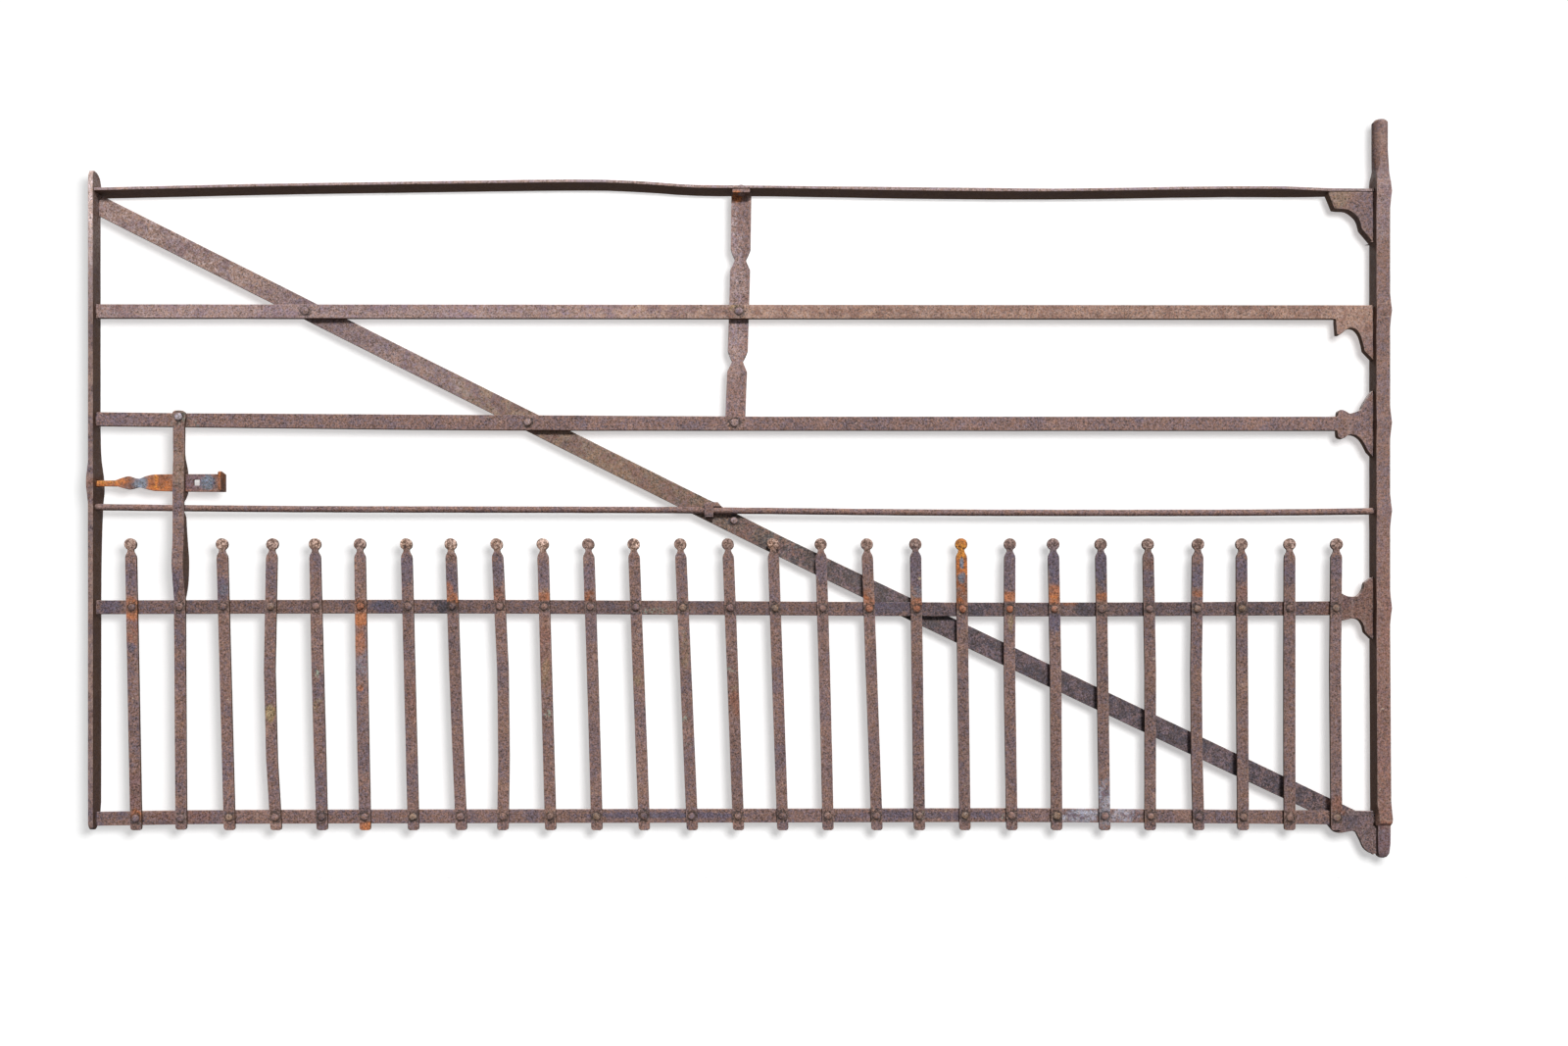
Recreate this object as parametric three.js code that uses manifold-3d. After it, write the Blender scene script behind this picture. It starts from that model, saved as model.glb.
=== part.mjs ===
// A blacksmith-made wrought-iron gate: two stiles, six rails, a diagonal brace, a centre strut,
// a row of dog bars with flattened ball tops, and a sliding latch bolt in a slotted guide bar.
// Millimetres, +Z up. The origin is the tip of the hanging stile's pivot foot, on the hanging axis.
// The gate reaches towards -X, and its front, where the dog bars are, faces -Y.

import * as THREE from 'three';
import { mergeVertices } from 'three/addons/utils/BufferGeometryUtils.js';
import Module from 'manifold-3d';

const wasm = await Module();
wasm.setup();

// ---------------------------------------------------------------- driving dimensions

const GAP = 0.3; // clearance between pieces that touch
const INCH = 25.4;

// stiles
const HEEL_WIDTH = 28.8;
const STILE_FRONT = -17.5;
const STILE_BACK = 16.5;
const HEEL_LEFT = -HEEL_WIDTH / 2;
const SQUARE_TOP = 1378; // the square bar is drawn out from here
const SPIGOT_FOOT = 1442; // and is round from here up
const SPIGOT_TOP = 1503;
const SPIGOT_RADIUS = 15.6;
const MORTISE_SWELLING = 3;
const HEEL_LEAN = 1.8; // the foot of the heel stile stands this far out
const PEG_TOP = 66; // the pivot peg below it is set back, and narrower towards the rail
const PEG_FRONT = -12;
const PEG_LEFT = -8.5;
const HEAD_FACE = -2627.3; // outer face of the head stile, which closes against the post
const HEAD_THICKNESS = 10.7;
const HEAD_INNER = HEAD_FACE + HEAD_THICKNESS;
const HEAD_FOOT = 58;
const HEAD_TOP = 1397.5;

// depth layout: the rails' front face, and what lies before and behind them
const RAIL_FRONT = -6;
const RAIL_THICKNESS = 10;
const RAIL_BACK = RAIL_FRONT + RAIL_THICKNESS;
const RAIL_HEIGHT = 1.125 * INCH;
const KNEE_THICKNESS = 15;
const BAR_THICKNESS = 0.25 * INCH;
const BAR_WIDTH = 23.5;
const BAR_BACK = RAIL_FRONT - GAP;
const BAR_FRONT = BAR_BACK - BAR_THICKNESS;
const BRACE_THICKNESS = 8;
const BRACE_FRONT = RAIL_BACK + GAP;
const BRACE_BACK = BRACE_FRONT + BRACE_THICKNESS;
const BRACE_WIDTH = 40;
const ROD_RADIUS = 7;
const ROD_Y = BRACE_FRONT - 1.5 * GAP - ROD_RADIUS;

// top rail, laid flat
const TOP_RAIL_FRONT = -14.5;
const TOP_RAIL_BACK = 33.5;
const TOP_RAIL_THICKNESS = 0.25 * INCH;
const TOP_TENON_DEPTH = 16;
const TOP_TENON_HEIGHT = 5;

// tenons: every rail passes through both stiles and is hammered over outside
const TENON_SIZE = 18;
const TENON_PROUD = 1.5;

// rivets
const SHANK_RADIUS = 4;
const HOLE_RADIUS = SHANK_RADIUS + GAP;
const HEAD_RADIUS = 8;
const HEAD_HEIGHT = 4;
const ROUND_SIDES = 16;

// centre lines of the rails: [x, z] from the head stile to the heel, as the smith left them
const LINES = {
  top: [
    [HEAD_INNER, 1359], [-2290, 1366.5], [-1970, 1371.5], [-1640, 1375.5], [-1510, 1372],
    [-1395, 1364.5], [-1235, 1363.5], [-975, 1359], [-670, 1357], [-300, 1362], [HEEL_LEFT, 1360],
  ],
  upper: [[HEAD_INNER, 1113.5], [-1300, 1112.5], [HEEL_LEFT, 1111.5]],
  middle: [[HEAD_INNER, 894], [-2200, 889], [-1600, 885], [HEEL_LEFT, 884.5]],
  round: [[HEAD_INNER, 714.5], [-2200, 710.5], [-1450, 708.5], [-900, 703.5], [-320, 703], [HEEL_LEFT, 706]],
  dog: [[HEAD_INNER, 510.5], [-1900, 512], [-1300, 508.5], [-700, 506], [HEEL_LEFT, 509]],
  bottom: [
    [HEAD_INNER, 79.5], [-2290, 83.5], [-1300, 86], [-760, 87], [-350, 84.5], [HEEL_LEFT, 81.5],
  ],
};

// dog bars: where each is riveted to the dog rail, as mm off an even pitch, how far its foot
// stands to the right of its top rivet, and how far its middle bows to the right
const BAR_PITCH = 94;
const FIRST_BAR_X = -2543.7;
const DOG_BARS = [
  { off: 4, lean: 7.5, bow: 1 }, null, { off: 1.5, lean: 11.5, bow: 0 },
  { off: 2, lean: 10.5, bow: -5 }, { off: 1, lean: 12, bow: -1 }, { off: -2.5, lean: 9, bow: -1 },
  { off: 1, lean: 10, bow: 1 }, { off: -3, lean: 16.5, bow: -0.5 }, { off: 0, lean: 5.5, bow: 4 },
  { off: -4.5, lean: 12, bow: 0 }, { off: -5, lean: 12.5, bow: 0.5 }, { off: -6.5, lean: 16, bow: 0 },
  { off: -5, lean: 18, bow: 0 }, { off: -3, lean: 16, bow: 0 }, { off: -5.5, lean: 14.5, bow: 0 },
  { off: -3, lean: 10.5, bow: 0.5 }, { off: -2.5, lean: 15, bow: 0 }, { off: 0, lean: 5.5, bow: 0.5 },
  { off: -1, lean: 5, bow: 0.5 }, { off: 0.5, lean: 4.5, bow: -1.5 }, { off: -1.5, lean: 4, bow: 1 },
  { off: 0, lean: 6, bow: 0 }, { off: 3, lean: 2, bow: 1.5 }, { off: 5, lean: 3.5, bow: -2.5 },
  { off: 2.5, lean: 3, bow: -0.5 }, { off: 5.5, lean: 0.5, bow: -0.5 }, { off: 5.5, lean: 1.5, bow: -1.5 },
]; // the gap is the latch guide's place
const BAR_FOOT = 57;
const BAR_SHOULDER = 610;
const NECK_HEIGHT = 623;
const NECK_WIDTH = 13.5;
const BALL_HEIGHT = 638;
const BALL_RADIUS = 12.7;

// latch guide
const GUIDE_X = -2445;
const GUIDE_TOP = 911;
const GUIDE_LUG_RADIUS = 14.5;
const GUIDE_FOOT = 58;
const GUIDE_AT_ROD = ROD_Y - ROD_RADIUS - GAP; // its back face where the round rail passes
const GUIDE_LEAN = 4.5; // its foot stands this far to the right of its top

// latch bolt
const BOLT_THICKNESS = 6.5;
const BOLT_FRONT = -5.3;
const BOLT_BACK = BOLT_FRONT + BOLT_THICKNESS;
const BOLT_HEIGHT = 764.5;
const BOLT_TIP = HEAD_INNER - 6;
const BOLT_ABOVE = 17.3; // half-heights of its wide part, above and below BOLT_HEIGHT
const BOLT_BELOW = 19;
const SLOT_CLEARANCE = 1; // the bolt slides in its two slots with this much play all round

// knees: outlines beside the heel stile, [distance left of its face, distance from the rail's
// edge], from the rail to the stile; a third value marks a corner, and the rest are smooth
const KNEES = {
  top: [[92, 5, 1], [80, 34, 1], [70, 35.5], [52, 37], [37, 47], [29, 58], [24, 76, 1], [2, 102, 1]],
  upperBelow: [
    [77, 6, 1], [75, 31, 1], [69, 32], [56, 22], [47, 18], [36, 21], [27, 33], [21, 53, 1],
    [19, 64, 1], [0, 84, 1],
  ],
  middleAbove: [
    [73, 3, 1], [71, 12], [64, 14], [56, 11], [48, 6, 1], [27, 13], [22, 22], [13, 38, 1], [0, 55, 1],
  ],
  middleBelow: [
    [74, 3, 1], [72, 13], [62, 16], [54, 11], [47, 8], [36, 10], [25, 18], [17, 31], [11, 43, 1],
    [0, 54, 1],
  ],
  dogAbove: [
    [66, 2, 1], [64, 15, 1], [53, 10], [42, 9], [33, 10.5], [25, 17], [20, 26, 1], [17, 38],
    [6, 47, 1], [0, 49, 1],
  ],
  dogBelow: [
    [65, 2, 1], [64, 11], [52, 9], [42, 7], [32, 8], [25, 13], [20, 22, 1], [17, 35, 1], [4, 48, 1],
    [0, 49, 1],
  ],
  bottomBelow: [
    [92, 0, 1], [89, 4], [80, 14], [68, 16.5], [55, 14.5], [41, 12], [36, 13.5, 1], [27, 31.5],
    [21.5, 44], [16, 51], [7.5, 57], [0, 59.5, 1],
  ],
};

// ---------------------------------------------------------------- colours

const rust = new THREE.MeshStandardMaterial({ color: 0x6b5149, roughness: 0.85, metalness: 0.3 });
const brightRust = new THREE.MeshStandardMaterial({ color: 0xa05a2c, roughness: 0.85, metalness: 0.2 });

// ---------------------------------------------------------------- helpers

const gate = new THREE.Group();

function solidOf(geometry) {
  geometry.deleteAttribute('normal');
  geometry.deleteAttribute('uv');
  const merged = mergeVertices(geometry, 1e-4);
  return new wasm.Manifold(new wasm.Mesh({
    numProp: 3,
    vertProperties: new Float32Array(merged.attributes.position.array),
    triVerts: new Uint32Array(merged.index.array),
  }));
}

function addPiece(name, solid, material = rust) {
  const mesh = solid.getMesh();
  const geometry = new THREE.BufferGeometry();
  geometry.setAttribute('position', new THREE.BufferAttribute(new Float32Array(mesh.vertProperties), 3));
  geometry.setIndex(new THREE.BufferAttribute(new Uint32Array(mesh.triVerts), 1));
  geometry.computeVertexNormals();
  const piece = new THREE.Mesh(geometry, material);
  piece.name = name;
  gate.add(piece);
}

// an outline in X and Z, given depth from yFront to yBack
function frontPlate(points, yFront, yBack) {
  const shape = new THREE.Shape(points.map(([x, z]) => new THREE.Vector2(x, z)));
  const geometry = new THREE.ExtrudeGeometry(shape, { depth: yBack - yFront, bevelEnabled: false });
  geometry.rotateX(Math.PI / 2);
  geometry.translate(0, yBack, 0);
  return solidOf(geometry);
}

// an outline in Y and Z, given width from xLeft to xRight
function sidePlate(points, xLeft, xRight) {
  const shape = new THREE.Shape(points.map(([y, z]) => new THREE.Vector2(y, z)));
  const geometry = new THREE.ExtrudeGeometry(shape, { depth: xRight - xLeft, bevelEnabled: false });
  geometry.applyMatrix4(new THREE.Matrix4().set(0, 0, 1, xLeft, 1, 0, 0, 0, 0, 1, 0, 0, 0, 0, 0, 1));
  return solidOf(geometry);
}

function block(xLow, xHigh, yLow, yHigh, zLow, zHigh) {
  return frontPlate([[xLow, zLow], [xHigh, zLow], [xHigh, zHigh], [xLow, zHigh]], yLow, yHigh);
}

// a turned solid on an axis through (x, y, z), its profile given as [radius, distance along the axis]
function turned(profile, axis, x, y, z) {
  const points = profile.map(([radius, along]) => new THREE.Vector2(radius, along));
  const geometry = new THREE.LatheGeometry(points, ROUND_SIDES);
  if (axis === 'z') geometry.rotateX(Math.PI / 2);
  if (axis === 'x') geometry.rotateZ(-Math.PI / 2);
  geometry.translate(x, y, z);
  return solidOf(geometry);
}

// a smooth line through points, with its marked corners kept sharp
function smooth(points, steps = 3) {
  const line = [];
  let stretch = [];
  const flush = () => {
    if (stretch.length > 2) {
      const curve = new THREE.SplineCurve(stretch.map(([x, z]) => new THREE.Vector2(x, z)));
      curve.getPoints((stretch.length - 1) * steps).forEach((p) => line.push([p.x, p.y]));
    } else {
      stretch.forEach(([x, z]) => line.push([x, z]));
    }
  };
  points.forEach((point) => {
    stretch.push(point);
    if (point[2] && stretch.length > 1) {
      flush();
      line.pop();
      stretch = [point];
    }
  });
  if (stretch.length > 1) flush();
  else line.push([stretch[0][0], stretch[0][1]]);
  return line;
}

function lineAt(line, x) {
  const curve = smooth(line, 6);
  const next = Math.min(Math.max(curve.findIndex((p) => p[0] > x), 1), curve.length - 1);
  const [x0, z0] = curve[next - 1];
  const [x1, z1] = curve[next];
  return z0 + (z1 - z0) * (x - x0) / (x1 - x0);
}

// ---------------------------------------------------------------- shared shapes

function shankHole(x, z) {
  return turned([[0, -60], [HOLE_RADIUS, -60], [HOLE_RADIUS, 60], [0, 60]], 'y', x, 0, z);
}

// a rivet through plates whose outer faces are at yFront and yBack, with a domed head on each
function rivet(name, x, z, yFront, yBack) {
  const front = yFront - GAP;
  const back = yBack + GAP;
  const dome = [[0, HEAD_HEIGHT], [4.5, 3.4], [7, 1.8], [HEAD_RADIUS, 0]];
  const profile = [
    ...dome.map(([radius, rise]) => [radius, front - rise]),
    [SHANK_RADIUS, front],
    [SHANK_RADIUS, back],
    ...dome.map(([radius, rise]) => [radius, back + rise]).reverse(),
  ];
  addPiece(name, turned(profile, 'y', x, 0, z));
}

// a strip of even height along a centre line in X and Z
function strip(line, height, yFront, yBack, steps = 4) {
  const curve = smooth(line, steps);
  const lower = curve.map(([x, z]) => [x, z - height / 2]);
  const upper = curve.map(([x, z]) => [x, z + height / 2]).reverse();
  return frontPlate([...lower, ...upper], yFront, yBack);
}

// the cusped knee of a rail; side is -1 for one below the rail and 1 for one above it
function knee(outline, edge, side, thickness = KNEE_THICKNESS) {
  const curve = smooth(outline).map(([left, off]) => [
    HEEL_LEFT - Math.max(left, GAP), edge + side * off,
  ]);
  const inside = edge - side * 8;
  return frontPlate(
    [...curve, [HEEL_LEFT - GAP, inside], [curve[0][0], inside]],
    RAIL_FRONT,
    RAIL_FRONT + thickness,
  );
}

// where a rail's tenon goes through each stile
const TENON_FRONT = RAIL_FRONT + 1;
const TENON_BACK = RAIL_BACK - 1;
const HEEL_OUTER = HEEL_WIDTH / 2 + MORTISE_SWELLING + TENON_PROUD;
const HEAD_OUTER = HEAD_FACE - TENON_PROUD;

function tenon(xLow, xHigh, z) {
  return block(xLow, xHigh, TENON_FRONT, TENON_BACK, z - TENON_SIZE / 2, z + TENON_SIZE / 2);
}

function mortise(xLow, xHigh, z) {
  const half = TENON_SIZE / 2 + GAP;
  return block(xLow, xHigh, TENON_FRONT - GAP, TENON_BACK + GAP, z - half, z + half);
}

function flatRail(line) {
  const inset = [...line];
  inset[0] = [HEAD_INNER + GAP, line[0][1]];
  inset[line.length - 1] = [HEEL_LEFT - GAP, line[line.length - 1][1]];
  return strip(inset, RAIL_HEIGHT, RAIL_FRONT, RAIL_BACK)
    .add(tenon(HEAD_OUTER, HEAD_INNER + 2, line[0][1]))
    .add(tenon(HEEL_LEFT - 2, HEEL_OUTER, line[line.length - 1][1]));
}

const headHeight = (line) => line[0][1];
const heelHeight = (line) => line[line.length - 1][1];
const FLAT_RAILS = [LINES.upper, LINES.middle, LINES.dog, LINES.bottom];

// ---------------------------------------------------------------- places of the fastenings

const BRACE_LINE = [[HEAD_INNER, 1333], [-1936, 991], [-1215, 631.5], [-614, 342], [-44, 72]];
const STRUT_TOP_X = -1302.5;
const STRUT_FOOT_X = -1316;
const RIVETS = {
  braceUpper: [-2191, 1113.5],
  braceMiddle: [-1737, 887],
  clip: [-1317.5, 688],
  strutUpper: [-1307, 1113],
  strutMiddle: [-1316, 886],
  guideUpper: [GUIDE_X, 897],
  guideDog: [GUIDE_X + 1.5, 511],
  guideBottom: [GUIDE_X + 4.5, 82],
};
const DOG_RAIL_RIVETS = DOG_BARS.map((bar, i) => bar && [
  FIRST_BAR_X + BAR_PITCH * i + bar.off, lineAt(LINES.dog, FIRST_BAR_X + BAR_PITCH * i),
]);

// ---------------------------------------------------------------- stiles

// the swellings that punching a mortise leaves, as [offset, height] along an edge
function swellings(base, size, heights) {
  return heights.flatMap((z) => [
    [base, z - 34], [base + size * 0.5, z - 15], [base + size, z],
    [base + size * 0.5, z + 15], [base, z + 34],
  ]);
}

function makeHeelStile() {
  const heights = [509, 706, 884, 1112, 1354];
  const right = HEEL_WIDTH / 2;
  const leaning = right + HEEL_LEAN;
  const round = SPIGOT_RADIUS;
  const front = frontPlate([
    [-round, SPIGOT_TOP], [-round, SPIGOT_FOOT], [HEEL_LEFT, SQUARE_TOP], [HEEL_LEFT, 420],
    [HEEL_LEFT + HEEL_LEAN, 110], [HEEL_LEFT + HEEL_LEAN, PEG_TOP], [PEG_LEFT, PEG_TOP], [PEG_LEFT, 22],
    [-7, 10], [-4, 3], [0, 0], [8, 0], [12, 2.5], [15, 9], [leaning + 1.5, 30], [leaning + 1.8, PEG_TOP],
    [leaning + 3.5, 80], [leaning + 2, 95], [leaning, 116], [right, 420],
    ...swellings(right, MORTISE_SWELLING, heights),
    [round - 1, SPIGOT_FOOT - 35], [round, SPIGOT_FOOT], [round, SPIGOT_TOP],
  ], STILE_FRONT - 6, STILE_BACK + 6);
  const side = sidePlate([
    ...swellings(-STILE_FRONT, 2, heights).map(([y, z]) => [-y, z]).reverse(),
    [STILE_FRONT - 1, 95], [STILE_FRONT - 1, PEG_TOP + 6], [PEG_FRONT, PEG_TOP], [PEG_FRONT, 12], [-8, 3],
    [-3, 0], [6, 0], [12, 12], [STILE_BACK, 45],
    ...swellings(STILE_BACK, 2, heights),
    [round, SPIGOT_FOOT], [round, SPIGOT_TOP], [-round, SPIGOT_TOP], [-round, SPIGOT_FOOT],
  ], HEEL_LEFT - 6, right + 8);
  const drawnOut = turned([
    [0, -1], [40, -1], [40, SQUARE_TOP - 30], [round + 7, SQUARE_TOP], [round + 2.5, SPIGOT_FOOT - 32],
    [round, SPIGOT_FOOT], [round - 0.6, SPIGOT_TOP - 5], [round - 4, SPIGOT_TOP], [0, SPIGOT_TOP],
  ], 'z', 0, 0, 0);
  let solid = front.intersect(side).intersect(drawnOut).subtract(footChamfer());
  const through = [HEEL_LEFT - 1, HEEL_OUTER + 2];
  FLAT_RAILS.forEach((line) => {
    solid = solid.subtract(mortise(...through, heelHeight(line)));
  });
  solid = solid.subtract(topTenon(...through, heelHeight(LINES.top), GAP));
  solid = solid.subtract(kneeTongue(through, GAP));
  solid = solid.subtract(roundTenon(...through, heelHeight(LINES.round), GAP));
  addPiece('heel_stile', solid);
}

// the front corner beside the bottom rail is hammered away above the pivot peg
function footChamfer() {
  const wedge = (cut, z) => [
    [HEEL_LEFT - 2, STILE_FRONT - 4, z], [HEEL_LEFT + HEEL_LEAN + cut, STILE_FRONT - 4, z],
    [HEEL_LEFT + HEEL_LEAN + cut, STILE_FRONT - 1, z], [HEEL_LEFT + HEEL_LEAN, STILE_FRONT + 1.4 * cut, z],
    [HEEL_LEFT - 2, STILE_FRONT + 1.4 * cut, z],
  ];
  return wasm.Manifold.hull([...wedge(5.5, PEG_TOP - 2), ...wedge(5.5, 84), ...wedge(0.1, 112)]);
}

function topTenon(xLow, xHigh, z, extra) {
  const deep = TOP_TENON_DEPTH / 2 + extra;
  const high = TOP_TENON_HEIGHT / 2 + extra;
  return block(xLow, xHigh, -deep, deep, z - high, z + high);
}

const ROD_TENON_RADIUS = 5;

// the tongue by which the top knee is held in the heel stile
function kneeTongue(x, extra) {
  return block(...x, -extra, 8 + extra, 1325 - extra, 1341 + extra);
}

function roundTenon(xLow, xHigh, z, extra) {
  const radius = ROD_TENON_RADIUS + extra;
  return turned([[0, xLow], [radius, xLow], [radius, xHigh], [0, xHigh]], 'x', 0, ROD_Y, z);
}

function makeHeadStile() {
  const boss = 764;
  const bulge = 2;
  const front = frontPlate([
    [HEAD_FACE, HEAD_FOOT], [HEAD_INNER, HEAD_FOOT],
    [HEAD_INNER, boss - 45], [HEAD_INNER + bulge, boss - 15], [HEAD_INNER + bulge, boss + 15],
    [HEAD_INNER, boss + 45], [HEAD_INNER, HEAD_TOP + 2], [HEAD_FACE + 1, HEAD_TOP + 2],
    [HEAD_FACE, HEAD_TOP - 30],
    [HEAD_FACE, boss + 40], [HEAD_FACE - bulge, boss + 12], [HEAD_FACE - bulge, boss - 12],
    [HEAD_FACE, boss - 40],
  ], STILE_FRONT - 10, STILE_BACK + 20);
  const narrow = STILE_BACK - 2;
  const side = sidePlate([
    ...smooth([[STILE_FRONT, 70, 1], [-13, 61], [-6, HEAD_FOOT], [2, 64], [12, 84], [STILE_BACK, 112, 1]]),
    ...smooth([
      [STILE_BACK + 1, boss - 210, 1], [STILE_BACK + 3, boss - 120], [STILE_BACK + 8, boss - 40],
      [STILE_BACK + 9.5, boss - 8], [STILE_BACK + 5, boss + 28], [STILE_BACK, boss + 65],
      [narrow, boss + 110, 1],
    ]),
    ...smooth([
      [narrow, 1310, 1], [STILE_BACK + 1, 1350], [STILE_BACK, 1374], [11, 1389], [2, HEAD_TOP - 1.5],
      [-6, HEAD_TOP], [-13, HEAD_TOP - 1], [STILE_FRONT, HEAD_TOP - 12, 1],
    ]),
    ...smooth([
      [STILE_FRONT, boss + 45, 1], [STILE_FRONT - 2, boss + 22], [STILE_FRONT - 4, boss],
      [STILE_FRONT - 2, boss - 22], [STILE_FRONT, boss - 45, 1],
    ]),
  ], HEAD_FACE - 10, HEAD_INNER + 10);
  let solid = front.intersect(side);
  const through = [HEAD_FACE - 9, HEAD_INNER + 9];
  FLAT_RAILS.forEach((line) => {
    solid = solid.subtract(mortise(...through, headHeight(line)));
  });
  solid = solid.subtract(topTenon(...through, headHeight(LINES.top), GAP));
  solid = solid.subtract(roundTenon(...through, headHeight(LINES.round), GAP));
  solid = solid.subtract(braceTenon(GAP));
  const play = SLOT_CLEARANCE;
  solid = solid.subtract(block(
    ...through, BOLT_FRONT - play, BOLT_BACK + play, BOLT_HEIGHT - 8 - play, BOLT_HEIGHT + 5 + play,
  ));
  addPiece('head_stile', solid);
}

// ---------------------------------------------------------------- rails

function makeTopRail() {
  const line = [...LINES.top];
  line[0] = [HEAD_INNER + GAP, headHeight(line)];
  line[line.length - 1] = [HEEL_LEFT - GAP, heelHeight(line)];
  const bar = strip(line, TOP_RAIL_THICKNESS, TOP_RAIL_FRONT, TOP_RAIL_BACK, 3);
  const plan = new THREE.Shape([
    [HEAD_INNER, TOP_RAIL_FRONT], [-200, TOP_RAIL_FRONT], [-110, RAIL_FRONT], [0, RAIL_FRONT],
    [0, TOP_RAIL_BACK - 12], [-160, TOP_RAIL_BACK], [HEAD_INNER, TOP_RAIL_BACK],
  ].map(([x, y]) => new THREE.Vector2(x, y)));
  const outline = new THREE.ExtrudeGeometry(plan, { depth: 200, bevelEnabled: false }).translate(0, 0, 1260);
  let solid = bar.intersect(solidOf(outline));
  solid = solid.add(topTenon(HEAD_OUTER, HEAD_INNER + 2, headHeight(line), 0));
  solid = solid.add(topTenon(HEEL_LEFT - 2, HEEL_OUTER, heelHeight(line), 0));
  const hole = [[0, 1300], [HOLE_RADIUS, 1300], [HOLE_RADIUS, 1420], [0, 1420]];
  addPiece('top_rail', solid.subtract(turned(hole, 'z', STRUT_TOP_X, STRUT_RIVET_Y, 0)));
}

const STRUT_RIVET_Y = -4.2;
const TOP_KNEE_BACK = 14;

function makeTopKnee() {
  const edge = heelHeight(LINES.top) - TOP_RAIL_THICKNESS / 2;
  const curve = smooth(KNEES.top).map(([left, off]) => [HEEL_LEFT - left, edge - off]);
  const inner = HEEL_LEFT - GAP;
  const plate = frontPlate([
    ...curve, [inner, curve[curve.length - 1][1]], [inner, edge + 9], [curve[0][0], edge + 9],
  ], RAIL_FRONT, TOP_KNEE_BACK);
  const railSpace = strip(
    LINES.top, TOP_RAIL_THICKNESS + 2 * GAP, TOP_RAIL_FRONT - 5, TOP_RAIL_BACK + 5, 3,
  );
  const tongue = kneeTongue([HEEL_LEFT - 2, HEEL_OUTER], 0);
  const above = block(-200, 20, -40, 40, edge, edge + 60);
  addPiece('top_knee', plate.subtract(railSpace).subtract(above).add(tongue));
}

function makeFlatRails() {
  const half = RAIL_HEIGHT / 2;
  const edgeOf = (line, side) => heelHeight(line) + side * half;
  const upper = flatRail(LINES.upper)
    .add(knee(KNEES.upperBelow, edgeOf(LINES.upper, -1), -1))
    .subtract(shankHole(...RIVETS.braceUpper))
    .subtract(shankHole(...RIVETS.strutUpper));
  addPiece('upper_rail', upper);
  const middle = flatRail(LINES.middle)
    .add(knee(KNEES.middleAbove, edgeOf(LINES.middle, 1), 1))
    .add(knee(KNEES.middleBelow, edgeOf(LINES.middle, -1), -1))
    .subtract(shankHole(...RIVETS.braceMiddle))
    .subtract(shankHole(...RIVETS.strutMiddle))
    .subtract(shankHole(...RIVETS.guideUpper));
  addPiece('middle_rail', middle);
  const dog = flatRail(LINES.dog)
    .add(knee(KNEES.dogAbove, edgeOf(LINES.dog, 1), 1))
    .add(knee(KNEES.dogBelow, edgeOf(LINES.dog, -1), -1))
    .subtract(shankHole(...RIVETS.guideDog));
  addPiece('dog_rail', dog);
  const bottom = flatRail(LINES.bottom)
    .add(knee(KNEES.bottomBelow, edgeOf(LINES.bottom, -1), -1, RAIL_THICKNESS))
    .add(block(HEEL_LEFT - 1, PEG_LEFT - GAP, RAIL_FRONT, RAIL_BACK, 8.5, PEG_TOP - GAP))
    .subtract(shankHole(...RIVETS.guideBottom));
  addPiece('bottom_rail', bottom);
}

function makeRoundRail() {
  const circle = new THREE.Shape().absarc(0, 0, ROD_RADIUS, 0, Math.PI * 2);
  const points = smooth([
    [HEAD_INNER + GAP, headHeight(LINES.round)], ...LINES.round.slice(1, -1),
    [HEEL_LEFT - GAP, heelHeight(LINES.round)],
  ], 4).map(([x, z]) => new THREE.Vector3(x, ROD_Y, z));
  const rod = solidOf(new THREE.ExtrudeGeometry(circle, {
    extrudePath: new THREE.CatmullRomCurve3(points), steps: 20, curveSegments: 6, bevelEnabled: false,
  }));
  addPiece('round_rail', rod
    .add(roundTenon(HEAD_OUTER, HEAD_INNER + 2, headHeight(LINES.round), 0))
    .add(roundTenon(HEEL_LEFT - 2, HEEL_OUTER, heelHeight(LINES.round), 0)));
}

// ---------------------------------------------------------------- brace and strut

const BRACE_TENON_LOW = 1318;
const BRACE_TENON_SIZE = 20;

function braceTenon(extra) {
  return block(
    HEAD_OUTER - extra, HEAD_INNER + 2, BRACE_FRONT + 1 - extra, BRACE_BACK - 1 + extra,
    BRACE_TENON_LOW - extra, BRACE_TENON_LOW + BRACE_TENON_SIZE + extra,
  );
}

function makeBrace() {
  const line = smooth(BRACE_LINE, 3);
  const slope = 0.5;
  const tall = BRACE_WIDTH * Math.hypot(1, slope);
  let solid = strip(line.map(([x, z], i) => [i ? x : HEAD_INNER + GAP, z]), tall, BRACE_FRONT, BRACE_BACK, 1);
  const railBottom = headHeight(LINES.top) - TOP_RAIL_THICKNESS / 2;
  solid = solid.subtract(block(-2700, -2500, -50, 50, railBottom - GAP, railBottom + 100));
  solid = solid.add(braceTenon(0).subtract(block(HEAD_INNER + 1.9, -2500, -50, 50, 1200, 1400)));
  solid = solid.subtract(shankHole(...RIVETS.braceUpper)).subtract(shankHole(...RIVETS.braceMiddle));
  solid = solid.subtract(shankHole(...RIVETS.clip));
  solid = solid.subtract(clipLegs(GAP));
  addPiece('brace', solid);
}

const STRUT_HALF_WIDTH = 20.5;
const STRUT_WAIST = 11.5; // half-width at the two notches
const STRUT_FOLD = 8; // thickness where its top is folded forward under the top rail

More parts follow.
